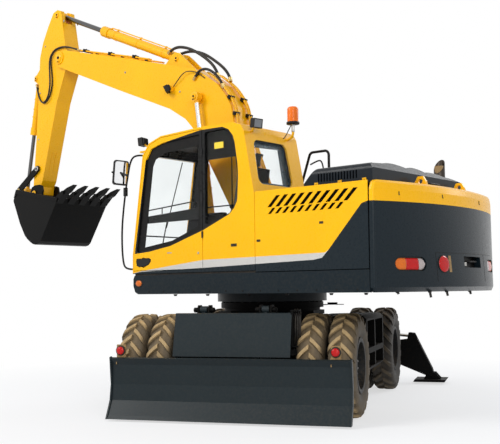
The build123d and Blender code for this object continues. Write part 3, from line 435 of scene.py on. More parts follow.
class Shape:
    """Vertices and faces that are added up before they become one piece."""

    def __init__(self):
        self.verts = []
        self.faces = []

    def add(self, verts, faces, place=None):
        start = len(self.verts)
        self.verts += [tuple(place @ Vector(v)) if place else tuple(v) for v in verts]
        self.faces += [tuple(i + start for i in face) for face in faces]
        return self

    def block(self, x0, x1, y0, y1, z0, z1, place=None):
        verts = [(x, y, z) for x in (x0, x1) for y in (y0, y1) for z in (z0, z1)]
        faces = [(0, 1, 3, 2), (4, 6, 7, 5), (0, 4, 5, 1), (2, 3, 7, 6), (0, 2, 6, 4), (1, 5, 7, 3)]
        return self.add(verts, faces, place)

    def prism(self, points, a, b, axis="y", place=None):
        """A plate with the outline points in the other two axes, from a to b along the axis."""
        if axis == "x":
            verts = [(t, p, q) for t in (a, b) for p, q in points]
        else:
            verts = [(p, t, q) for t in (a, b) for p, q in points]
        n = len(points)
        faces = [tuple(range(n)), tuple(range(2 * n - 1, n - 1, -1))]
        faces += [(i, (i + 1) % n, n + (i + 1) % n, n + i) for i in range(n)]
        return self.add(verts, faces, place)

    def lathe(self, profile, count=32, place=None, closed=False):
        """The profile (radius, height) turned about Z."""
        verts, faces = [], []
        n = len(profile)
        for i in range(count):
            angle = 2 * pi * i / count
            verts += [(r * cos(angle), r * sin(angle), h) for r, h in profile]
            k = (i + 1) % count
            for j in range(n if closed else n - 1):
                up = (j + 1) % n
                faces.append((i * n + j, k * n + j, k * n + up, i * n + up))
        if not closed:
            faces.append(tuple(i * n for i in range(count))[::-1])
            faces.append(tuple(i * n + n - 1 for i in range(count)))
        return self.add(verts, faces, place)

    def bolt(self, at, axis, r=0.012, h=0.01):
        """A hexagon head on a washer."""
        place = Matrix.Translation(at) @ toward(axis)
        self.lathe([(r * 1.35, 0), (r * 1.35, h * 0.25)], 16, place)
        return self.lathe([(r, h * 0.2), (r, h * 0.85), (r * 0.8, h)], 6, place)

    def rod(self, p, q, r, count=14):
        p, q = Vector(p), Vector(q)
        place = Matrix.Translation(p) @ toward(q - p)
        return self.lathe([(r, 0), (r, (q - p).length)], count, place)

    def piece(self, name, mat, slot, body="upper", place=UPPER, bevel=0.0, smooth=False, segments=2, at=None):
        """A mesh piece that rides on a body; the place turns its points into the row frame."""
        mesh = bpy.data.meshes.new(name)
        mesh.from_pydata(self.verts, [], self.faces)
        mesh.validate()
        mesh.transform(place)
        obj = link_object(name, mesh)
        if at:
            obj.location = at
        bm = bmesh.new()
        bm.from_mesh(mesh)
        bmesh.ops.recalc_face_normals(bm, faces=bm.faces)
        bm.to_mesh(mesh)
        bm.free()
        mesh.materials.append(M[mat])
        set_smooth(mesh, smooth or bevel > 0)
        if bevel:
            edge_modifier(obj, bevel, segments, 35)
        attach(obj, body)
        return obj


def tube(name, points, radius, mat, body="upper", place=UPPER, smooth=True):
    """A round tube along a smooth line; without a body it is left loose."""
    curve = bpy.data.curves.new(name, "CURVE")
    curve.dimensions = "3D"
    spline = curve.splines.new("NURBS" if smooth else "POLY")
    spline.points.add(len(points) - 1)
    for point, p in zip(spline.points, points):
        point.co = (*(place @ Vector(p)), 1)
    if smooth:
        spline.order_u = 3
        spline.use_endpoint_u = True
        spline.resolution_u = 6
    curve.bevel_depth = radius
    curve.bevel_resolution = 3
    curve.use_fill_caps = True
    obj = link_object(name, curve)
    curve.materials.append(M[mat])
    if body:
        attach(obj, body)
    return obj


# ------------------------------------------------------------------ wheels


def tyre_mesh():
    """One lugged tyre about Y, with a chevron tread."""
    shape = Shape()
    flank = [(0.2545, 0.072), (0.2545, 0.1), (0.268, 0.104), (0.284, 0.108), (0.3, 0.118), (0.34, 0.133),
             (0.385, 0.138), (0.43, 0.134), (0.458, 0.127), (0.478, 0.114), (0.489, 0.088), (0.495, 0.045)]
    inside = [(0.4, 0.06), (0.455, 0.0), (0.4, -0.06)]
    carcass = [(r, -y) for r, y in flank] + [(0.497, 0.0)] + flank[::-1] + inside
    shape.lathe(carcass, 96, turned(-90, "X"), closed=True)
    # each lug is a bent bar from the middle of the tread over the shoulder: across, along, width, radius
    stations = [(0.004, 0.0, 0.066, 0.5268), (0.045, 0.034, 0.066, 0.526), (0.082, 0.072, 0.068, 0.5235),
                (0.108, 0.1, 0.072, 0.516), (0.126, 0.124, 0.074, 0.49), (0.133, 0.14, 0.074, 0.455)]
    edges = ((-0.5, False), (-0.34, True), (0.34, True), (0.5, False))
    lugs, tread_r, shoulder = 20, 0.51, 0.12
    last = (len(stations) - 1) * 4
    faces = [(k + j, k + j + 1, k + j + 5, k + j + 4) for k in range(0, last, 4) for j in range(3)]
    faces += [(0, 1, 2, 3), (last, last + 1, last + 2, last + 3)]
    for side in (1, -1):
        for i in range(lugs):
            base = 2 * pi * (i + (0.5 if side < 0 else 0)) / lugs
            verts = []
            for across, along, width, top in stations:
                low = top - (0.036 if top > 0.5 else 0.03)
                for edge, raised in edges:
                    angle = base + (along + edge * width) / tread_r
                    r = top if raised else low
                    y = side * (across + (0.004 if raised and across > shoulder else 0))
                    verts.append((r * cos(angle), y, r * sin(angle)))
            shape.add(verts, faces)
    return shape


def build_wheels():
    tread = tyre_mesh()
    twin_step = 0.11
    # the front wheels get the tyre rubber painted darker as shade
    for end, x, rubber_name in (("rear", REAR_X, "tyre"), ("front", FRONT_X, "tyre_painted_shade")):
        for side, sign in SIDES:
            body = f"{end}_{side}_wheels"
            for twin, y, step in (("inner", INNER_Y, twin_step), ("outer", OUTER_Y, 0.0)):
                tyre = tread.piece(f"{end}_{side}_{twin}_tread_tyre", rubber_name, "tyre_rubber", body,
                                   Matrix.Rotation(step, 4, "Y"), smooth=True, at=(x, sign * y, AXLE_Z))
                tyre.modifiers.new("edge", "EDGE_SPLIT").split_angle = radians(40)
                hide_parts(f"{end}_{side}_tyres")
            build_rim_trim(f"{end}_{side}", body, x, sign)


def build_rim_trim(name, body, x, sign):
    """Wheel nuts, hub plate bolts and the rims' rolled lips."""
    nuts = Shape()
    face = (INNER_Y + OUTER_Y) / 2 + 0.026
    # count, first step, circle, place across, radius, height
    for count, first, circle, y, r, h in (
            (10, 0, 0.166, face, 0.017, 0.03), (8, 0.5, 0.092, 1.173, 0.01, 0.008)):
        for i in range(count):
            angle = 2 * pi * (i + first) / count
            nuts.bolt((x + circle * cos(angle), sign * y, AXLE_Z + circle * sin(angle)), (0, sign, 0), r, h)
    nuts.piece(f"{name}_wheel_nuts", "steel", "rim_paint", body, IDENTITY, bevel=0.0015)
    rings = Shape()
    place = shift(x, 0, AXLE_Z) @ Matrix.Rotation(-sign * pi / 2, 4, "X")
    lip = ((0.24, 0), (0.278, 0), (0.284, 0.006), (0.276, 0.012), (0.24, 0.01))
    for y in (INNER_Y, OUTER_Y):
        for out in (-1, 1):
            centre = y + out * 0.112
            rings.lathe([(r, centre + out * h) for r, h in lip], 64, place, closed=True)
    rings.piece(f"{name}_rim_lips", "rim", "rim_paint", body, IDENTITY, smooth=True)


# ------------------------------------------------------------------ camera, light, floor


def seen_directly(tree):
    """1 for the rays that show the background: from the camera, off gloss and through glass."""
    path = tree.nodes.new("ShaderNodeLightPath")
    total = path.outputs["Is Camera Ray"]
    for ray in ("Is Glossy Ray", "Is Transmission Ray"):
        either = tree.nodes.new("ShaderNodeMath")
        either.operation = "MAXIMUM"
        tree.links.new(total, either.inputs[0])
        tree.links.new(path.outputs[ray], either.inputs[1])
        total = either.outputs[0]
    return total


def blend_shaders(tree, factor, first, second, target):
    blend = tree.nodes.new("ShaderNodeMixShader")
    for socket, source in zip(blend.inputs, (factor, first, second)):
        tree.links.new(source, socket)
    tree.links.new(blend.outputs[0], tree.nodes[target].inputs["Surface"])


def build_camera():
    yaw, pitch, roll = radians(16.6), radians(4.36), radians(-0.67)
    forward = Vector((cos(pitch) * cos(yaw), cos(pitch) * sin(yaw), sin(pitch)))
    right = Vector((sin(yaw), -cos(yaw), 0))
    up = right.cross(forward)
    right, up = right * cos(roll) + up * sin(roll), up * cos(roll) - right * sin(roll)
    camera = link_object("camera", bpy.data.cameras.new("camera"))
    camera.matrix_world = shift(-10.12, -2.755, 1.304) @ Matrix((right, up, -forward)).transposed().to_4x4()
    camera.data.lens = 63.9
    camera.data.sensor_width = 36
    camera.data.sensor_fit = "HORIZONTAL"
    camera.data.clip_end = 300
    bpy.context.scene.camera = camera


def build_floor():
    """A pale floor that takes the shadow and fades to white away from the machine."""
    mesh = bpy.data.meshes.new("floor")
    half = 120
    corners = [(-half, -half, 0), (half, -half, 0), (half, half, 0), (-half, half, 0)]
    mesh.from_pydata(corners, [], [(0, 1, 2, 3)])
    floor = link_object("floor", mesh)
    g = Graph("floor_pale")
    x, y, z = g.axes(g.coords())
    g.surface((0.86, 0.86, 0.86, 1), 0.9)
    whiteness = g.span(g.distance(x, y), 2.8, 7.0, 0.62, 1.0)
    blend_shaders(g.tree, g.times(seen_directly(g.tree), whiteness), g.bsdf.outputs[0],
                  g.node("ShaderNodeEmission").outputs[0], "Material Output")
    mesh.materials.append(g.mat)


def build_world():
    """A cool sky lights the machine, and the rays that show the background see white."""
    world = bpy.data.worlds.new("studio")
    bpy.context.scene.world = world
    world.use_nodes = True
    tree = world.node_tree
    sky, white = tree.nodes["Background"], tree.nodes.new("ShaderNodeBackground")
    for background, colour, strength in ((sky, (0.8, 0.87, 1.0, 1), 0.5), (white, (1, 1, 1, 1), 1.0)):
        background.inputs["Color"].default_value = colour
        background.inputs["Strength"].default_value = strength
    blend_shaders(tree, seen_directly(tree), sky.outputs[0], white.outputs[0], "World Output")


def build_stage():
    build_camera()
    build_floor()
    build_world()
    for name, at, aim, size, power, colour in (
            ("key", (-9, 11, 12), (0, 1.2, 1.8), (7, 7), 1550, (1, 0.985, 0.96)),
            ("front_fill", (-14, -6, 7), (-0.5, 0.5, 1.6), (8, 6), 980, (1, 0.99, 0.98)),
            ("rim", (9, -9, 10), (0, 0, 2), (6, 6), 600, (1, 1, 1))):
        light = bpy.data.lights.new(name, "AREA")
        light.shape = "RECTANGLE"
        light.size, light.size_y = size
        light.energy = power
        light.color = colour
        lamp = link_object(name, light)
        lamp.location = at
        lamp.rotation_euler = (Vector(aim) - Vector(at)).to_track_quat("-Z", "Y").to_euler()
    bpy.context.scene.view_settings.view_transform = "Standard"


# ------------------------------------------------------------------ undercarriage


def build_blade_trim():
    """A red lamp on a tan bracket at each end of the blade."""
    body, slot = "dozer_blade", "lamp_plastic"
    front, back, foot = -1.72, -1.738, 0.56
    for side, y in (("left", 1.134), ("right", -1.093)):
        outline = [(back, foot), (front, foot), (front, 0.76), (back, 0.76)]
        bracket = Shape().prism(outline, y - 0.05, y + 0.05)
        bracket.prism([(back, foot), (-1.76, foot), (back, 0.64)], y + 0.042, y + 0.05)
        bracket.piece(f"blade_lamp_bracket_{side}", "tan", "dark_paint", body, IDENTITY, bevel=0.004)
        place = shift(-1.739, y, 0.7) @ turned(-90, "Y")
        rim = Shape().lathe([(0.048, 0), (0.052, 0.006), (0.05, 0.018), (0.042, 0.022)], 32, place)
        rim.piece(f"blade_lamp_rim_{side}", "rubber", slot, body, IDENTITY, smooth=True)
        lamp = Shape().lathe([(0.041, 0.014), (0.04, 0.026), (0.03, 0.034), (0.012, 0.038)], 32, place)
        lamp.piece(f"blade_lamp_lens_{side}", "red", slot, body, IDENTITY, smooth=True)


def build_undercarriage_trim():
    body, slot = "undercarriage", "dark_paint"
    bolts = Shape()
    count, circle, top = 36, 0.58, 1.157
    for i in range(count):
        angle = 2 * pi * i / count
        bolts.bolt((circle * cos(angle), circle * sin(angle), top), (0, 0, 1), 0.011, 0.01)
    bolts.piece("frame_bolts", "black", slot, body, IDENTITY)
    guide = Shape().block(0.56, 0.93, -0.5, -0.4, 1.104, 1.112)
    guide.block(0.85, 0.93, -0.68, -0.4, 1.104, 1.112)
    guide.block(0.87, 0.915, -0.6, -0.48, 1.112, 1.134)
    guide.piece("swing_lock_plate", "frame", slot, body, IDENTITY, bevel=0.002)
    # hoses from the turntable to the blade cylinders
    for i, y in enumerate((0.1, 0.16, -0.12)):
        line = [(-0.62, y, 0.93), (-0.95, y, 0.94), (-1.2, y * 1.3, 0.95), (-1.4, y * 1.8, 1.02),
                (-1.46, y * 2.0 + 0.02, 1.06)]
        tube(f"blade_hose_{i}", line, 0.013, "hose", body, IDENTITY)
    stay = Shape().block(-1.575, -1.535, -0.64, -0.615, 0.74, 1.1)
    stay.block(-1.58, -1.5, -0.7, -0.612, 1.085, 1.1)
    stay.block(-1.58, -1.5, -0.68, -0.612, 0.735, 0.75)
    for z in (0.8, 0.9, 1.0):
        stay.bolt((-1.577, -0.628, z), (-1, 0, 0), 0.008, 0.006)
    stay.piece("guard_side_stay", "frame", slot, body, IDENTITY, bevel=0.003)
    for i, y in enumerate((-0.655, -0.68, -0.703)):
        line = [(-1.46, y + 0.02, 1.1), (-1.54, y, 1.06), (-1.545, y, 0.95), (-1.53, y + 0.008, 0.84),
                (-1.46, y + 0.03, 0.76)]
        tube(f"guard_side_hose_{i}", line, 0.01, "hose", body, IDENTITY)
    pins = Shape()
    pin_x, pin_z, near, far = -1.45, 1.1, 0.225, 0.435
    for y0, y1 in ((near, far), (-far, -near)):
        pins.rod((pin_x, y0, pin_z), (pin_x, y1, pin_z), 0.026, 24)
        for y, out in ((y0, -1), (y1, 1)):
            pins.bolt((pin_x, y, pin_z), (0, out, 0), 0.02, 0.01)
    pins.piece("blade_cylinder_top_pins", "frame", slot, body, IDENTITY, bevel=0.0015)
    for side, sign in SIDES:
        line = [(0.95, sign * 0.24, 0.74), (1.2, sign * 0.28, 0.72), (1.45, sign * 0.3, 0.66),
                (1.66, sign * 0.26, 0.6), (1.69, sign * 0.24, 0.565)]
        tube(f"steer_hose_{side}", line, 0.012, "hose", body, IDENTITY)


# ------------------------------------------------------------------ upper structure


def tail_u(v, z):
    """The counterweight's rear face: an arc whose radius shrinks a little with height."""
    up = (z - 1.31) / 0.915
    rearmost, half = -2.515 + 0.083 * up, 1.198 - 0.008 * up
    sagitta = -2.212 - rearmost
    radius = (half ** 2 + sagitta ** 2) / (2 * sagitta)
    return rearmost + radius - sqrt(radius ** 2 - v ** 2)


def tail_patch(low, high, edge, front, back, steps=14, rows=6):
    """A curved plate on the rear face, between depths; edge(v) gives its lowest and highest z."""
    grid, faces = [], []
    row = rows + 1
    n = (steps + 1) * row
    for depth in (front, back):
        for i in range(steps + 1):
            v = low + (high - low) * i / steps
            z0, z1 = edge(v)
            for j in range(row):
                z = z0 + (z1 - z0) * j / rows
                deep = depth(2 * j / rows - 1) if callable(depth) else depth
                grid.append((tail_u(v, z) + deep, v, z))
    for side in (0, n):
        for a in (side + i * row + j for i in range(steps) for j in range(rows)):
            faces.append((a, a + 1, a + row + 1, a + row))
    rim = [i * row for i in range(steps + 1)] + [steps * row + j for j in range(1, row)]
    rim += [i * row + rows for i in range(steps - 1, -1, -1)] + list(range(rows - 1, 0, -1))
    for a, b in zip(rim, rim[1:] + rim[:1]):
        faces.append((a, b, b + n, a + n))
    return Shape().add(grid, faces)


def build_tail_lamps():
    """Each lamp is a stadium with an amber, a red and a clear field on a rubber bed."""
    v0, v1, middle, reach = 0.645, 1.005, 1.5275, 0.0625

    def stadium(margin):
        def edge(v):
            from_end = min(abs(v) - v0, v1 - abs(v)) - margin
            half = reach - margin
            if from_end < half:
                half = sqrt(max(1e-6, half ** 2 - (half - max(from_end, 0.0)) ** 2))
            return middle - half, middle + half
        return edge

    def crown(across):
        return 0.0015 + 0.008 * across * across

    for side, sign in SIDES:
        bed = tail_patch(sign * (v0 + 0.001), sign * (v1 - 0.001), stadium(0.001), 0.012, 0.0205, 30)
        bed.piece(f"tail_lamp_bed_{side}", "rubber", "lamp_plastic")
        for colour, a, b in (("amber", 0.885, v1 - 0.01), ("red", 0.735, 0.882), ("clear", v0 + 0.01, 0.732)):
            cover = tail_patch(sign * a, sign * b, stadium(0.009), crown, 0.013, 12, 8)
            cover.piece(f"tail_lamp_{colour}_{side}", colour, "lamp_plastic", smooth=True)


def build_reflector():
    """The round red reflector, square to a line that leans up a little, and the plate beside it; the red lamp
    material gives the reflector a faint painted glow.
    """
    centre = Vector((tail_u(0.395, 1.53), 0.395, 1.53))
    place = UPPER @ Matrix.Translation(centre) @ toward((centre.x, centre.y, 0.18))
    rim = Shape().lathe([(0.082, -0.004), (0.086, 0.004), (0.082, 0.008)], 40, place)
    rim.piece("reflector_rim", "rubber", "lamp_plastic", place=IDENTITY, smooth=True)
    disc = Shape().lathe([(0.078, 0), (0.078, 0.009), (0.06, 0.012), (0.02, 0.013)], 40, place)
    disc.piece("reflector", "red", "lamp_plastic", place=IDENTITY, smooth=True)
    plate = tail_patch(0.31, 0.272, lambda v: (1.452, 1.612), -0.0025, 0.002, 2)
    plate.piece("reflector_plate", "tan", "lamp_plastic")


def build_recess():
    """A black sheet at the back of the rear recess as painted shade, its grab bar and its socket."""
    tail_patch(-0.388, 0.018, lambda v: (1.502, 1.608), 0.072, 0.079, 12).piece(
        "rear_recess_shade_sheet", "black", "dark_paint")
    bar_z, ends = 1.562, (-0.32, -0.06)
    face = [tail_u(v, 1.555) for v in ends]
    grab = Shape().rod((face[0] + 0.03, ends[0], bar_z), (face[1] + 0.03, ends[1], bar_z), 0.011)
    for u, v in zip(face, ends):
        grab.rod((u + 0.026, v, bar_z), (u + 0.078, v, bar_z), 0.009)
    grab.piece("rear_recess_grab_bar", "black", "dark_paint", smooth=True)
    middle = shift(tail_u(-0.02, 1.55) + 0.045, -0.035, 1.532)
    socket = Shape().block(-0.03, 0.03, -0.026, 0.026, -0.02, 0.02, middle)
    socket.piece("rear_recess_socket", "steel", "control_plastic", bevel=0.006)


def build_tail_lines():
    """Crease and seams, latches and drain stubs."""
    slot, front, back = "counterweight_paint", -0.0012, 0.002
    for name, low, high, z0, z1, steps, rows in (
            ("tail_crease", -0.93, 0.5, 1.637, 1.6415, 30, 1),
            ("tail_seam_left", 0.498, 0.502, 1.36, 1.637, 1, 8),
            ("tail_seam_right", -0.502, -0.498, 1.36, 1.637, 1, 8)):
        tail_patch(low, high, lambda v: (z0, z1), front, back, steps, rows).piece(name, "black", slot)
    latches = Shape()
    for v, z in ((0.92, 2.19), (0.3, 2.195), (-0.55, 2.19)):
        place = shift(tail_u(v, z), v, z)
        latches.block(-0.004, 0.01, -0.006, 0.006, -0.018, 0.018, place)
        latches.block(-0.004, 0.01, -0.022, -0.006, -0.018, -0.01, place)
    latches.piece("tail_latch_marks", "rubber", slot, bevel=0.002)
    stubs = Shape()
    z = 1.268
    for u, v, long in ((-2.38, 0.525, 0.058), (-2.4, 0.229, 0.046), (-2.25, 0.9, 0.02), (-2.38, -0.3, 0.035)):
        stubs.rod((u, v, z), (u - 0.012, v, z - long), 0.012)
        stubs.rod((u, v, z + 0.004), (u, v, z - 0.012), 0.02, 6)
    stubs.piece("tail_drain_stubs", "hose", "dark_paint")


def build_screens():
    """The dark mesh screens behind the slots of doors and hood."""
    for name, body, u0, u1, z0, z1, v in (
            ("left_door_screen", "left_side_door", -2.145, -0.92, 2.045, 2.262, SIDE_V - 0.032),
            ("right_door_screen", "right_side_door", -2.12, -1.12, 2.045, 2.235, -SIDE_V + 0.035),
            ("hood_side_screen", "engine_hood", -2.03, -1.51, 2.335, 2.432, 1.11)):
        screen = Shape().block(u0, u1, v - 0.003, v, z0, z1)
        count = int((u1 - u0) / 0.02)
        for i in range(count):
            u = u0 + (i + 0.5) * (u1 - u0) / count
            screen.block(u - 0.002, u + 0.002, v, v + 0.003, z0, z1)
        screen.piece(name, "black", "black_paint", body)


def build_side_trim():
    """Rubber strip under the cab, side lamp, latches and the bolts along the skirts."""
    strip = Shape().block(-0.775, 1.045, 0.345, 1.212, 1.474, 1.4995)
    strip.piece("cab_mount_strip", "rubber", "black_paint", bevel=0.004)
    place = UPPER @ (shift(0.965, SIDE_V, 1.389) @ Matrix.Diagonal((1.75, 1, 1.25, 1))) @ turned(-90, "X")
    rim = Shape().lathe([(0.034, -0.002), (0.036, 0.003), (0.03, 0.005)], 28, place)
    rim.piece("side_marker_rim", "rubber", "lamp_plastic", place=IDENTITY, smooth=True)
    cover = Shape().lathe([(0.028, 0.0), (0.027, 0.008), (0.016, 0.013)], 28, place)
    cover.piece("side_marker_lens", "amber", "lamp_plastic", place=IDENTITY, smooth=True)
    latches = Shape()
    for u, z in ((-0.83, 1.8), (-1.62, 1.94)):
        latches.block(u - 0.025, u + 0.025, SIDE_V - 0.002, SIDE_V + 0.0015, z - 0.012, z + 0.012)
    latches.piece("side_door_latch_left", "rubber", "dark_paint", "left_side_door", bevel=0.001)
    handle = Shape().block(-0.535, -0.455, SIDE_V - 0.002, SIDE_V + 0.003, 1.755, 1.785)
    handle.bolt((-0.495, SIDE_V + 0.002, 1.77), (0, 1, 0), 0.008, 0.004)
    handle.piece("cab_side_latch", "rubber", "dark_paint", bevel=0.003)
    bolts = Shape()
    for sign, count in ((1, 13), (-1, 11)):
        for i in range(count):
            bolts.bolt((-2.02 + i * 0.235, sign * SIDE_V, 1.292), (0, sign, 0), 0.007, 0.004)
    for u in (-1.05, -0.55, 0.05, 0.55, -1.6, -2.0):
        bolts.bolt((u, 1.05, 1.262), (0, 0, -1), 0.018, 0.02)
    bolts.piece("skirt_bolts", "black", "dark_paint")


def build_deck_trim():
    """Hood tabs and handle, the handrail's inner loop, grips to walk on, and the exhaust's lining."""
    tabs = Shape()
    for u in (-1.5, -1.78, -2.06):
        tabs.block(u - 0.022, u + 0.022, 1.128, 1.1345, 2.316, 2.342)
        tabs.bolt((u, 1.1345, 2.329), (0, 1, 0), 0.007, 0.005)
    tabs.piece("hood_side_tabs", "yellow", "yellow_paint", "engine_hood", bevel=0.002)
    line = [(-2.152, 0.12, 2.36), (-2.175, 0.12, 2.362), (-2.18, 0.0, 2.362), (-2.175, -0.12, 2.362),
            (-2.152, -0.12, 2.36)]
    tube("hood_handle", line, 0.008, "black", "engine_hood")
    loop = ((-0.135, 2.52), (-0.06, 2.8), (-0.03, 2.93), (0.03, 2.945), (0.15, 2.9))
    tube("handrail_inner_loop", [(u, -1.0, z) for u, z in loop], 0.01, "black")
    grip = Shape()
    for base in (1.9, 1.9001, 1.9002):   # three layers, and their common top shades the treads
        for k in range(9):
            u = 0.3 + k * 0.045
            grip.block(u, u + 0.012, -1.21, -0.6, base, 1.906)
    grip.piece("right_step_treads", "steel", "dark_paint")
    studs = Shape()
    for k in range(10):
        u = -0.9 + k * 0.11
        for v in (-1.12, -0.92, -0.72):
            studs.lathe([(0.02, 0), (0.016, 0.004)], 10, shift(u, v, 2.292 - (u + 0.98) * 0.0625))
    studs.piece("deck_grip_studs", "steel", "dark_paint")
    for name, mat, z, profile in (
            ("exhaust_lining", "tan", 2.505, [(0.0535, 0.0), (0.0535, 0.16), (0.05, 0.16), (0.05, 0.0)]),
            ("exhaust_clamp", "steel", 2.36, [(0.062, 0), (0.069, 0.002), (0.069, 0.02), (0.062, 0.022)])):
        ring = Shape().lathe(profile, 32, UPPER @ shift(-1.8, -0.8, z), closed=True)
        ring.piece(name, mat, "exhaust_steel", place=IDENTITY, smooth=True)


# ------------------------------------------------------------------ cab


def work_lamp(name, at, aim, width, height, foot=None, body="upper"):
    """A square work lamp with ribs behind, a framed lens in front and a bracket to its foot."""
    place = Matrix.Translation(at) @ toward(aim, "X", "Z")
    w, h, lip = width / 2, height / 2, 0.008
    housing = Shape().block(-0.03, 0.02, -w, w, -h, h, place)
    for i in range(4):
        y = -w * 0.75 + i * w * 0.5
        housing.block(-0.05, -0.028, y - 0.003, y + 0.003, -h * 0.8, h * 0.8, place)
    housing.piece(name, "plastic", "lamp_plastic", body, bevel=0.006)
    rim = Shape()
    for y0, y1, z0, z1 in ((-w, w, h - lip, h), (-w, w, -h, lip - h),
                           (-w, lip - w, lip - h, h - lip), (w - lip, w, lip - h, h - lip)):
        rim.block(0.019, 0.03, y0, y1, z0, z1, place)
    rim.piece(f"{name}_rim", "rubber", "lamp_plastic", body, bevel=0.002)
    cover = Shape().block(0.018, 0.025, 0.009 - w, w - 0.009, 0.009 - h, h - 0.009, place)
    cover.piece(f"{name}_lens", "lamp_glass", "lamp_plastic", body, bevel=0.002)
    if foot:
        stay = Shape().rod(at, foot, 0.01).bolt(foot, (0, 0, 1), 0.014, 0.012)
        stay.piece(f"{name}_stay", "yellow", "yellow_paint", body)


def build_mirror():
    """A padded frame round silver glass, on the long bent tube in front of the cab."""
    plastic_slot = "control_plastic"
    line = [(0.925, 1.175, 2.865), (1.02, 1.19, 2.885), (1.13, 1.2, 2.85), (1.19, 1.2, 2.62),
            (1.245, 1.2, 2.35), (1.285, 1.2, 2.05), (1.283, 1.2, 1.8), (1.262, 1.2, 1.64),
            (1.235, 1.195, 1.575), (1.15, 1.185, 1.555), (1.066, 1.178, 1.553)]
    tube("mirror_arm", line, 0.011, "black")
    place = shift(1.3, 1.205, 2.7) @ turned(-26, "Z") @ turned(4, "X")
    outline = []
    half_y, half_z, corner = 0.062, 0.118, 0.03
    for y, z, start in ((1, 1, 0), (-1, 1, 90), (-1, -1, 180), (1, -1, 270)):
        for k in range(5):
            angle = radians(start + k * 22.5)
            outline.append((y * half_y + corner * cos(angle), z * half_z + corner * sin(angle)))
    housing = Shape().prism(outline, -0.01, 0.03, "x", place)
    housing.piece("mirror_housing", "plastic", plastic_slot, bevel=0.008)
    glass = [(y * 0.82, z * 0.88) for y, z in outline]
    Shape().prism(glass, -0.013, -0.008, "x", place).piece("mirror_glass", "mirror", plastic_slot)
    joints = Shape().rod((1.3, 1.215, 2.7), (1.185, 1.2, 2.655), 0.012)
    joints.block(-0.018, 0.018, -0.02, 0.02, -0.05, 0.05, shift(1.222, 1.2, 2.465))
    joints.bolt((1.33, 1.3, 2.7), (0, 1, 0), 0.01, 0.02)
    joints.piece("mirror_clamps", "plastic", plastic_slot, bevel=0.003)


def build_roof_lamps():
    front_lamp, rear_lamp = (0.985, 1.145, 3.035), (-0.735, 1.12, 3.035)
    work_lamp("front_roof_lamp", front_lamp, (1, 0.25, -0.12), 0.115, 0.095, (0.86, 1.13, 2.925))
    bracket = Shape().block(0.84, 1.0, 1.09, 1.18, 2.905, 2.925)
    bracket.piece("front_lamp_bracket", "yellow", "yellow_paint", bevel=0.004)
    work_lamp("rear_roof_lamp", rear_lamp, (-1, 0.15, -0.15), 0.12, 0.1, (-0.655, 1.11, 2.955))


def build_beacon():
    """A ribbed orange lens between a base and a cap, on a sprung stem."""
    pitch, ribs, coil, coils = 0.015, [(0.062, 3.13)], 0.014, [(0.012, 3.02)]
    for i in range(10):
        ribs += [(0.063, 3.134 + i * pitch), (0.0595, 3.1415 + i * pitch)]
    for i in range(5):
        coils += [(0.02, 3.03 + i * coil), (0.014, 3.037 + i * coil)]
    for name, mat, count, profile in (
            ("base", "plastic", 32, [(0.066, 3.105), (0.072, 3.108), (0.072, 3.128), (0.066, 3.134)]),
            ("lens", "beacon", 40, ribs + [(0.058, 3.288), (0.042, 3.3), (0.012, 3.304)]),
            ("stem", "steel", 20, coils + [(0.024, 3.1), (0.024, 3.108)])):
        turning = Shape().lathe(profile, count, shift(-0.735, 0.5, 0))
        turning.piece(f"beacon_{name}", mat, "lamp_plastic", smooth=True)
    arm = [(-0.735, 0.5, 3.025), (-0.735, 0.5, 2.985), (-0.7, 0.5, 2.955), (-0.64, 0.5, 2.94)]
    tube("beacon_bracket", arm, 0.014, "yellow")
    wire = [(-0.725, 0.515, 3.1), (-0.705, 0.545, 3.04), (-0.69, 0.56, 2.985), (-0.64, 0.56, 2.945)]
    tube("beacon_wire", wire, 0.005, "hose")


def flat_band(name, mat, body, outer, clear, layers, place_point):
    """A thin band between two outlines, from the first layer to the second."""
    n = len(outer)
    quads = [(i, (i + 1) % n, n + (i + 1) % n, n + i) for i in range(n)]
    band = Shape()
    for layer in layers:
        band.add([place_point(a, z, layer) for a, z in outer + clear], quads)
    for i, k, _, _ in quads:
        band.faces += [(i, k, 2 * n + k, 2 * n + i), (n + i, n + k, 3 * n + k, 3 * n + i)]
    band.piece(name, mat, "black_paint", body)


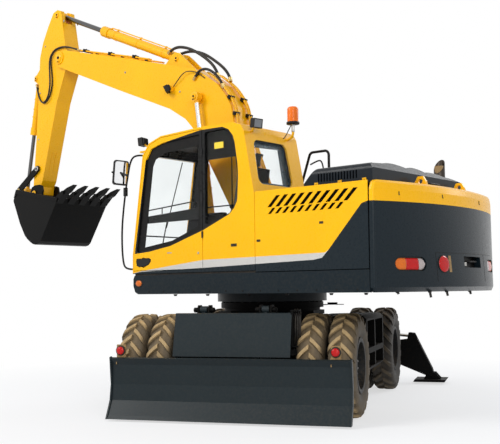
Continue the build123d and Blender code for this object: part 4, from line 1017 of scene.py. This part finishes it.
def build_window_trim():
    """Guard bars, wiper, dark bands at the panes, blank label and the cab's lining."""
    paint_slot, plastic_slot = "black_paint", "control_plastic"
    guard_v = 0.352
    bars = Shape()
    for z in (2.02, 2.3):
        bars.rod((-0.5, guard_v, z), (0.925 - (z - 2.02) * 0.14, guard_v, z), 0.008)
    bars.rod((0.3, guard_v, 1.8), (0.3, guard_v, 2.94), 0.008)
    bars.piece("right_window_guard", "black", paint_slot, smooth=True)
    wiper = Shape().rod((1.045, 0.8, 1.742), (0.985, 0.735, 2.2), 0.007)
    wiper.rod((1.005, 0.745, 2.05), (0.885, 0.59, 2.84), 0.006)
    wiper.rod((1.05, 0.8, 1.735), (1.035, 0.8, 1.742), 0.018)
    wiper.piece("windscreen_wiper", "black", paint_slot)
    rail = Shape().rod((0.995, 0.39, 1.94), (0.995, 1.165, 1.94), 0.008)
    rail.piece("windscreen_guard_rail", "black", paint_slot, smooth=True)
    trim = [(0.985, 1.6), (0.985, 1.74), (0.805, 2.9), (0.64, 2.93), (0.83, 1.6)]
    Shape().prism(trim, 0.3765, 0.392).piece("right_front_pillar_trim", "plastic", plastic_slot, bevel=0.004)
    line = [(0.945, 1.15, 2.62), (0.9, 1.13, 2.6), (0.905, 1.125, 2.4), (0.945, 1.125, 2.18),
            (0.985, 1.15, 2.14)]
    tube("cab_grab_rail", line, 0.01, "black")
    # name, material, slot, rounding, box
    for name, mat, slot, bevel, box in (
            ("window_label_blank", "label", plastic_slot, 0.001,
             (-0.345, -0.215, SIDE_V - 0.019, SIDE_V - 0.014, 2.812, 2.88)),
            ("quarter_window_band", "black", paint_slot, 0,
             (-0.56, -0.06, SIDE_V - 0.04, SIDE_V - 0.031, 2.705, 3.005)),
            ("cab_headlining", "plastic", plastic_slot, 0.006, (-0.6, 0.86, 0.385, 1.165, 2.955, 2.985)),
            ("rear_window_sill", "rubber", paint_slot, 0, (-0.735, -0.725, 0.5, 1.13, 2.395, 2.398))):
        Shape().block(*box).piece(name, mat, slot, bevel=bevel)


def build_door_rails():
    rail_v = 1.184
    bar = Shape().prism([(0.995, 2.07), (0.995, 2.145), (0.4, 2.18), (0.0, 2.205), (0.0, 2.075)], 1.172, 1.19)
    bar.piece("door_inner_rail", "plastic", "control_plastic", "cab_door", bevel=0.006)
    guard = Shape().rod((0.985, rail_v, 2.21), (0.1, rail_v, 2.275), 0.007)
    guard.rod((0.62, rail_v, 2.17), (0.62, rail_v, 2.24), 0.006)
    guard.piece("door_guard_rod", "black", "black_paint", "cab_door", smooth=True)


def build_pane_bands():
    """The dark edges of the rear window and of the door's pane, which is widest at the front."""
    outer = [(0.505, 2.385), (1.14, 2.385), (1.115, 2.895), (0.52, 2.895)]
    clear = [(0.655, 2.425), (1.085, 2.425), (1.07, 2.8), (0.645, 2.815)]
    flat_band("rear_window_band", "tinted_edge", "upper", outer, clear, (0.046, 0.05),
              lambda v, z, depth: (-0.78 + (z - 2.27) * 0.1957 + depth, v, z))
    pane = [(1.012, 1.735), (0.848, 2.806), (0.764, 2.928), (0.583, 2.976), (-0.018, 3.005), (-0.018, 1.955),
            (0.451, 1.8)]
    clear = [(0.88, 1.8), (0.742, 2.715), (0.7, 2.79), (0.56, 2.85), (0.03, 2.88), (0.03, 2.0), (0.44, 1.858)]
    flat_band("door_pane_edge", "black", "cab_door", pane, clear, (SIDE_V - 0.0205, SIDE_V - 0.0215),
              lambda u, z, v: (u, v, z))


def build_door_trim():
    """On the cab door: grip recess with its lip, key lock, hinge knuckles and the pane's seal."""
    door, paint_slot, plastic_slot = "cab_door", "black_paint", "control_plastic"
    grip = [(1.005, 1.672), (0.8, 1.676), (0.768, 1.662), (0.764, 1.64), (0.8, 1.6), (0.85, 1.582),
            (0.96, 1.574), (1.0, 1.59), (1.012, 1.64)]
    recess = Shape().prism(grip, SIDE_V - 0.003, SIDE_V + 0.0025)
    recess.piece("door_grip_recess", "black", paint_slot, door, bevel=0.002)
    smaller = [(u * 0.86 + 0.125, z * 0.82 + 0.292) for u, z in grip]
    lip = Shape().prism(smaller, SIDE_V + 0.002, SIDE_V + 0.0045)
    lip.piece("door_grip_lip", "plastic", plastic_slot, door, bevel=0.002)
    lock = Shape().lathe([(0.014, 0), (0.012, 0.004)], 20, shift(0.02, SIDE_V, 1.705) @ turned(-90, "X"))
    lock.block(0.43, 0.5, SIDE_V - 0.001, SIDE_V + 0.002, 1.716, 1.728)
    lock.piece("door_key_lock", "steel", plastic_slot, door, bevel=0.001)
    hinges = Shape()
    for z in (1.9, 2.3, 2.8):
        hinges.rod((-0.046, SIDE_V + 0.006, z - 0.035), (-0.046, SIDE_V + 0.006, z + 0.035), 0.01)
    hinges.piece("door_hinge_knuckles", "plastic", plastic_slot, door)
    seal = Shape().rod((-0.01, SIDE_V - 0.02, 1.975), (-0.01, SIDE_V - 0.02, 3.0), 0.006)
    seal.piece("door_pane_seal", "rubber", paint_slot, door)


def blow_up(obj):
    """The cloth simulation that fills a pad; gives the vertices' places at its end."""
    cloth = obj.modifiers.new("cloth", "CLOTH")
    cloth.settings.use_pressure = True
    cloth.settings.uniform_pressure_force = 4
    cloth.settings.effector_weights.gravity = 0
    cloth.settings.quality = 4
    cloth.point_cache.frame_start = 1
    cloth.point_cache.frame_end = 20
    for step in range(1, 21):
        bpy.context.scene.frame_set(step)
    shape = obj.evaluated_get(bpy.context.evaluated_depsgraph_get())
    blown = [v.co.copy() for v in shape.data.vertices]
    obj.modifiers.clear()
    bpy.context.scene.frame_set(1)
    return blown


def pad_mesh(name, size, tilt, channels=()):
    """A cushion blown up by cloth simulation from a rounded block; the underside stays flat."""
    bm = bmesh.new()
    bmesh.ops.create_cube(bm, size=1)
    bmesh.ops.scale(bm, vec=size, verts=bm.verts)
    bmesh.ops.bevel(bm, geom=list(bm.edges), offset=min(size) * 0.34, segments=4, affect="EDGES", profile=0.5)
    mesh = bpy.data.meshes.new(name)
    bm.to_mesh(mesh)
    bm.free()
    obj = link_object(name, mesh)
    remesh = obj.modifiers.new("voxels", "REMESH")
    remesh.mode = "VOXEL"
    remesh.voxel_size = 0.006
    fine = bpy.data.meshes.new_from_object(obj.evaluated_get(bpy.context.evaluated_depsgraph_get()))
    obj.modifiers.clear()
    obj.data = fine
    start = [v.co.copy() for v in fine.vertices]
    blown = blow_up(obj)
    cap, seam, seam_depth, height = 0.014, 0.012, 0.009, size[2]
    for vertex, a, b in zip(fine.vertices, start, blown):
        move = b - a
        if move.length > cap:
            move *= cap / move.length
        keep = min(1.0, max(0.0, (a.z + height / 2) / (0.35 * height)))
        co = a + move * keep
        for channel in channels:
            near = abs(a.y - channel)
            if near < seam and a.z > 0:
                co.z -= seam_depth * (1 - (near / seam) ** 2) * min(1.0, a.z / (0.3 * height))
        vertex.co = co
    set_smooth(fine)
    fine.transform(tilt)
    fine.materials.append(M["fabric"])
    sub = obj.modifiers.new("round", "SUBSURF")
    sub.levels = sub.render_levels = 1
    return obj


def build_seat():
    """The operator's seat: blown pads with sewn channels, a shell, bellows and belt anchors."""
    slot = "control_plastic"
    lean = turned(-99, "Y")
    for name, size, place, channels, fill in (
            ("seat_cushion_pad", (0.49, 0.46, 0.1), shift(-0.06, 0.765, 1.96), (0.13, -0.13), 0.62),
            ("seat_back_pad", (0.62, 0.43, 0.085), shift(-0.325, 0.765, 2.33) @ lean, (0.12, -0.12), 0.6),
            ("seat_headrest_pad", (0.14, 0.235, 0.07), shift(-0.372, 0.765, 2.725) @ lean, (), 0.6)):
        pad = pad_mesh(name, size, UPPER @ place, channels)
        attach(pad, "upper")
        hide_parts("operator_seat")
    shell = Shape().block(-0.3, 0.17, 0.54, 0.99, 1.898, 1.912)
    shell.block(-0.02, 0.0, -0.205, 0.205, -0.3, 0.3, shift(-0.385, 0.765, 2.335) @ turned(-9, "Y"))
    for v in (0.705, 0.825):
        shell.rod((-0.385, v, 2.56), (-0.405, v, 2.74), 0.008)
    shell.piece("seat_shell", "plastic", slot, bevel=0.006)
    bellows = Shape()
    for i in range(7):
        z = 1.655 + i * 0.034
        bellows.block(-0.24, 0.1, 0.63, 0.9, z, z + 0.018)
        bellows.block(-0.225, 0.085, 0.645, 0.885, z + 0.017, z + 0.035)
    bellows.piece("seat_bellows", "rubber", slot, bevel=0.004)
    belt = Shape()
    for v in (0.505, 1.025):
        belt.block(-0.26, -0.19, v - 0.01, v + 0.01, 1.9, 2.02)
    # the red lamp material gives the anchors a faint painted glow
    belt.piece("seat_belt_anchors", "red", slot, bevel=0.003)


def build_cab_inside():
    """Levers' boots, armrests, monitor, rear cabinet, pedals and floor mat."""
    slot = "control_plastic"
    boot = [(0.038, 0.0)]
    for i in range(5):
        boot += [(0.036 - i * 0.005, 0.008 + i * 0.014), (0.029 - i * 0.005, 0.015 + i * 0.014)]
    for name, v in (("right", 0.452), ("left", 1.078)):
        shape = Shape().lathe(boot, 20, UPPER @ shift(0.208, v, 2.1))
        shape.piece(f"lever_boot_{name}", "rubber", slot, place=IDENTITY, smooth=True)
        rest = Shape().block(-0.24, 0.1, v - 0.04, v + 0.04, 2.108, 2.138)
        rest.piece(f"armrest_{name}", "plastic", slot, bevel=0.012, segments=3)
    place = shift(0.86, 0.47, 2.13) @ turned(35, "Z")
    housing = Shape().block(-0.02, 0.012, -0.095, 0.095, -0.075, 0.075, place)
    housing.piece("monitor_housing", "plastic", slot, bevel=0.008)
    Shape().block(-0.024, -0.019, -0.078, 0.078, -0.058, 0.058, place).piece("monitor_screen", "screen", slot)
    Shape().rod((0.9, 0.42, 1.82), (0.868, 0.462, 2.08), 0.014).piece("monitor_stand", "plastic", slot)
    cabinet = Shape().block(-0.725, -0.48, 0.385, 1.17, 1.548, 2.05).block(-0.7, -0.5, 0.42, 0.75, 2.05, 2.16)
    cabinet.piece("cab_rear_cabinet", "plastic", slot, bevel=0.012, segments=3)
    pedals = Shape()
    for v in (0.66, 0.8, 0.93):
        pedals.block(-0.07, 0.07, -0.032, 0.032, -0.006, 0.006, shift(0.8, v, 1.64) @ turned(-38, "Y"))
        pedals.rod((0.82, v, 1.55), (0.8, v, 1.635), 0.01)
    pedals.piece("foot_pedals", "rubber", slot, bevel=0.003)
    floor_mat = Shape().block(-0.46, 0.98, 0.385, 1.165, 1.5455, 1.552)
    for i in range(16):
        u = -0.4 + i * 0.085
        floor_mat.block(u, u + 0.025, 0.42, 1.13, 1.552, 1.556)
    floor_mat.piece("cab_floor_mat", "rubber", slot)


# ------------------------------------------------------------------ working equipment

NOSE_PIN = (3.854, 4.743)
ARM_CYLINDER = ((1.48, 4.325), (3.965, 5.425))
BUCKET_CYLINDER = ((4.53, 4.56), (4.855, 2.862))
BOOM_CYLINDER = ((0.64, 1.4), (0.985, 3.715))


def hose(name, points, radius, body, across=None):
    """A hose between two crimped fittings; across = (other body, start, end) for one over a joint, whose
    start and end are not used.
    """
    far_body = across[0] if across else body
    for end, rider, p, q in (("near", body, points[0], points[1]), ("far", far_body, points[-1], points[-2])):
        p, q = Vector(p), Vector(q)
        ahead = (q - p).normalized()
        fitting = Shape().rod(p - ahead * 0.004, p + ahead * 0.045, radius * 1.28)
        fitting.rod(p - ahead * 0.014, p + ahead * 0.01, radius * 1.55, 6)
        fitting.piece(f"{name}_{end}_fitting", "brass", "dark_paint", rider)
    line = tube(name, points, radius, "hose", None if across else body)
    if across:
        bpy.context.view_layer.update()
        mesh = bpy.data.meshes.new_from_object(line.evaluated_get(bpy.context.evaluated_depsgraph_get()))
        bpy.data.objects.remove(line)
        line = link_object(name, mesh)
        start, end = (tuple(UPPER @ Vector(p)) for p in across[1:])
        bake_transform(line)


def build_pin_caps():
    """Each pin's end plates with a dark stud and keeper bolts, on both sides of the joint."""
    # name, body, pin line, half width, radius, material
    for name, body, at, half, radius, mat in (
            ("boom_nose", "boom", NOSE_PIN, 0.179, 0.06, "yellow"),
            ("boom_cylinder", "boom_cylinder_rods", BOOM_CYLINDER[1], 0.283, 0.036, "yellow"),
            ("arm_cylinder_base", "boom", ARM_CYLINDER[0], 0.094, 0.036, "yellow"),
            ("arm_cylinder", "arm", ARM_CYLINDER[1], 0.125, 0.036, "yellow"),
            ("bucket", "bucket", (4.445, 2.785), 0.171, 0.04, "yellow"),
            ("bucket_cylinder_base", "arm", BUCKET_CYLINDER[0], 0.084, 0.03, "yellow"),
            ("rocker", "bucket_rocker", (4.4, 3.15), 0.16, 0.04, "steel"),
            ("rocker_end", "bucket_rocker", BUCKET_CYLINDER[1], 0.16, 0.03, "brass"),
            ("boom_foot", "upper", (-0.08, 1.62), 0.203, 0.055, "yellow")):
        plates, studs = Shape(), Shape()
        for sign in (1, -1):
            place = shift(at[0], sign * half, at[1]) @ Matrix.Rotation(-sign * pi / 2, 4, "X")
            plates.lathe([(radius, 0), (radius, 0.008), (radius * 0.9, 0.012)], 32, place)
            plates.block(-radius * 0.25, radius * 0.25, radius * 0.55, radius * 1.25, 0.01, 0.018, place)
            studs.lathe([(radius * 0.42, 0.01), (radius * 0.36, 0.017), (radius * 0.12, 0.018)], 20, place)
            for dx in (-0.14, 0.14):
                head = place @ Vector((radius * dx, radius * 1.05, 0.018))
                studs.bolt(head, (0, sign, 0), 0.006, 0.005)
        plates.piece(f"{name}_pin_caps_plates", mat, "dark_paint", body, bevel=0.001)
        studs.piece(f"{name}_pin_caps_studs", "black", "dark_paint", body)


def build_boom_pipes():
    """Steel pipes along the boom's back and top, and the clamps that hold them in pairs."""
    along_back = [(0.885, 4.028), (0.672, 3.878), (0.532, 3.712), (0.44, 3.56), (0.4, 3.385), (0.372, 3.2),
                  (0.19, 2.76), (0.03, 2.38)]
    along_top = [(3.4, 4.763), (2.267, 4.462), (1.95, 4.374)]
    for i, v in enumerate((0.135, 0.1, -0.1, -0.135)):
        tube(f"boom_back_pipe_{i}", [(u, v, z) for u, z in along_back], 0.013, "yellow", "boom")
        tube(f"boom_top_pipe_{i}", [(u, v, z + 0.016) for u, z in along_top], 0.011, "yellow",
             "boom", smooth=False)
    clamps = Shape()
    for u, z, angle in ((0.495, 3.65, -61), (0.408, 3.44, -75), (0.25, 2.93, -68),
                        (2.75, 4.591, 15), (2.25, 4.458, 15), (3.3, 4.737, 15)):
        place = shift(u, 0, z) @ turned(-angle, "Y")
        for v in (0.1175, -0.1175):
            clamps.block(-0.022, 0.022, v - 0.044, v + 0.044, -0.004, 0.04, place)
            clamps.bolt(place @ Vector((0, v, 0.04)), place.to_3x3() @ Vector((0, 0, 1)), 0.009, 0.008)
    clamps.piece("boom_pipe_clamps", "black", "dark_paint", "boom", bevel=0.004)


def build_cylinder_hoses():
    left = [(1.62, 4.425, 0.085), (1.5, 4.47, 0.12), (1.25, 4.42, 0.13), (1.02, 4.29, 0.125),
            (0.83, 4.14, 0.115), (0.745, 4.01, 0.105), (0.735, 3.955, 0.1)]
    right = [(1.62, 4.425, -0.085), (1.5, 4.47, -0.12), (1.23, 4.4, -0.13), (1.0, 4.25, -0.125),
             (0.82, 4.11, -0.115), (0.725, 3.985, -0.105), (0.715, 3.935, -0.1)]
    for side, line in (("left", left), ("right", right)):
        points = [(u, v, z) for u, z, v in line]
        hose(f"arm_cylinder_hose_{side}", points, 0.019, "arm_cylinder_barrel",
             ("boom", points[1], points[3]))
    line = [(1.08, 0.17, 3.97), (1.0, 0.2, 4.05), (0.86, 0.19, 4.07), (0.72, 0.165, 3.98),
            (0.64, 0.145, 3.86), (0.62, 0.135, 3.8)]
    hose("boom_cylinder_hose", line, 0.017, "boom")


def build_loop_hoses():
    """The loops from the boom's nose down past the arm."""
    # along, share of v, height, and 1 where the inner and right loops stand off
    loop = ((3.41, 1, 4.78, 0), (3.62, 1.06, 4.868, 0), (3.84, 1.08, 4.915, 0), (4.02, 1.1, 4.885, 1),
            (4.1, 1.16, 4.76, 1), (4.075, 1.22, 4.55, 0), (4.06, 1.24, 4.38, 0), (4.11, 1.2, 4.2, 1),
            (4.245, 1.12, 4.115, 1), (4.36, 1.0, 4.2, 0), (4.425, 0.95, 4.34, 0), (4.475, 0.8, 4.44, 0))
    for side, v, grow in (("left", 0.142, 0.0), ("left_inner", 0.108, 0.02), ("right", -0.142, 0.02)):
        points = [(u + grow * off, v * share, z) for u, share, z, off in loop]
        hose(f"arm_loop_hose_{side}", points, 0.012, "boom", ("arm", (3.7, 0, 4.88), (4.2, 0, 4.14)))


def build_boom_lamp():
    line = [(1.45, 0.18, 3.93), (1.36, 0.2, 3.99), (1.24, 0.205, 4.08), (1.1, 0.195, 4.075),
            (0.98, 0.18, 4.02), (0.9, 0.172, 3.95)]
    tube("boom_lamp_cable", line, 0.006, "hose", "boom")
    work_lamp("boom_lamp", (1.52, 0.225, 3.9), (0.75, 0.5, -0.45), 0.105, 0.09, body="boom")
    mount = Shape().block(1.46, 1.5, 0.164, 0.215, 3.87, 3.93)
    mount.bolt((1.48, 0.215, 3.9), (0, 1, 0), 0.011, 0.008)
    mount.piece("boom_lamp_bracket", "yellow", "yellow_paint", "boom", bevel=0.003)


def build_plugs():
    """Plugs on the flanks of the arm and the boom."""
    for body, v, spots in (("arm", 0.125, ((3.8, 5.3), (4.25, 5.0), (4.37, 4.3), (4.4, 3.6))),
                           ("boom", 0.165, ((2.4, 4.28), (1.35, 3.85)))):
        plugs = Shape()
        for u, z in spots:
            for sign in (1, -1):
                plugs.bolt((u, sign * v, z), (0, sign, 0), 0.011, 0.01)
        plugs.piece(f"{body}_side_plugs", "steel", "dark_paint", body)


def build_cylinder_trim():
    """A pipe with three straps along each cylinder, and the arm cylinder's wiper seal."""
    boom_pipe = ("boom_cylinder_barrels", BOOM_CYLINDER, 0.22, 1.34, 0.074, 0.057)
    # name, v, body, pin lines, first and last place, gap, strap radius
    for name, v, body, (base, eye), start, stop, gap, r in (
            ("arm_cylinder_pipe", 0.0, "arm_cylinder_barrel", ARM_CYLINDER, 0.2, 1.58, 0.084, 0.066),
            ("bucket_cylinder_pipe", 0.0, "bucket_cylinder_barrel", BUCKET_CYLINDER,
             0.16, 0.76, 0.068, 0.052),
            ("boom_cylinder_pipe_left", 0.24, *boom_pipe),
            ("boom_cylinder_pipe_right", -0.24, *boom_pipe)):
        ahead = Vector((eye[0] - base[0], 0, eye[1] - base[1])).normalized()
        # beside a boom cylinder, and above the others
        off = Vector((0, 1 if v > 0 else -1, 0)) if v else Vector((-ahead.z, 0, ahead.x))
        origin = Vector((base[0], v, base[1]))
        points = [origin + ahead * t + off * gap * share for t, share in
                  ((start, 0.75), (start + 0.03, 1), (stop - 0.05, 1), (stop, 0.75))]
        tube(name, points, 0.009, "yellow", body, smooth=False)
        straps = Shape()
        for t in (start + 0.15, (start + stop) / 2, stop - 0.18):
            centre = origin + ahead * t
            ring = [(r, -0.01), (r + 0.004, -0.01), (r + 0.004, 0.01), (r, 0.01)]
            straps.lathe(ring, 28, Matrix.Translation(centre) @ toward(ahead), closed=True)
            straps.block(-0.014, 0.014, -0.014, 0.014, -0.01, 0.01, Matrix.Translation(centre + off * gap))
        straps.piece(f"{name}_straps", "yellow", "yellow_paint", body)
    base, eye = (Vector((u, 0, z)) for u, z in ARM_CYLINDER)
    ahead = (eye - base).normalized()
    seal = [(0.037, -0.004), (0.052, -0.004), (0.052, 0.006), (0.037, 0.006)]
    place = Matrix.Translation(base + ahead * 1.7) @ toward(ahead)
    Shape().lathe(seal, 32, place, closed=True).piece(
        "arm_cylinder_wiper_seal", "rubber", "dark_paint", "arm_cylinder_barrel")


# ------------------------------------------------------------------ the CAD nodes

# material, width and segments of the rounded edges, nodes
NODE_LOOKS = (
    ("rim", 0.004, 2, "front_left_rims front_right_rims rear_left_rims rear_right_rims"),
    ("cab", 0.006, 2, "cab_door"),
    ("cab", 0.014, 3, "cab_shell"),
    ("panel", 0.006, 2, "left_side_door right_side_door"),
    ("livery", 0.006, 2, "right_tank_covers"),
    ("livery", 0.022, 4, "counterweight"),
    ("yellow", 0.006, 2, "boom arm boom_cylinder_barrels arm_cylinder_barrel bucket_cylinder_barrel"),
    ("yellow", 0.008, 3, "lifting_eyes"),
    ("frame", 0.005, 2, "chassis_frame slew_ring rear_axle front_axle gearbox_and_shafts stabiliser_beam"),
    ("frame", 0.005, 2, "knuckle_left knuckle_right stabiliser_leg_left stabiliser_leg_right"),
    ("frame", 0.005, 2, "stabiliser_barrel_left stabiliser_barrel_right"),
    ("blade", 0.005, 2, "blade_guard blade_arms blade_link dozer_blade blade_cylinder_barrels"),
    ("step", 0.006, 2, "side_step_boxes"),
    ("navy", 0.008, 2, "side_skirts turntable_frame engine_bay_frame"),
    ("hood", 0.02, 4, "engine_hood"),
    ("bucket", 0.005, 2, "bucket bucket_rocker bucket_link"),
    ("plastic", 0.008, 2, "cab_controls"),
    ("engine", 0, 0, "engine_block"),
    ("black", 0, 0, "handrail"),
    ("exhaust", 0, 0, "exhaust_pipe"),
    ("glass", 0, 0, "cab_glass door_glass"),
)


def dress_nodes():
    """A CAD node keeps its shape and gets a better material and rounded edges."""
    own_looks = tuple((row[0], 0, 0, row[0]) for row in ROD_EYES)
    for mat, width, segments, names in NODE_LOOKS + own_looks:
        for name in names.split():
            mesh = nodes[name].data
            mesh.materials.clear()
            mesh.materials.append(M[mat])
            if width:
                edge_modifier(nodes[name], width, segments, 30)
                set_smooth(mesh)


# ------------------------------------------------------------------ put together

build_stage()
dress_nodes()
build_wheels()
build_blade_trim()
build_undercarriage_trim()
build_tail_lamps()
build_reflector()
build_recess()
build_tail_lines()
build_screens()
build_side_trim()
build_deck_trim()
build_mirror()
build_roof_lamps()
build_beacon()
build_window_trim()
build_door_rails()
build_pane_bands()
build_door_trim()
build_seat()
build_cab_inside()
build_boom_pipes()
build_cylinder_hoses()
build_boom_lamp()
build_loop_hoses()
build_pin_caps()
build_plugs()
build_cylinder_trim()
for lamp_piece in ("front_roof_lamp", "rear_roof_lamp", "beacon_lens"):
    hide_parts("roof_lamps")
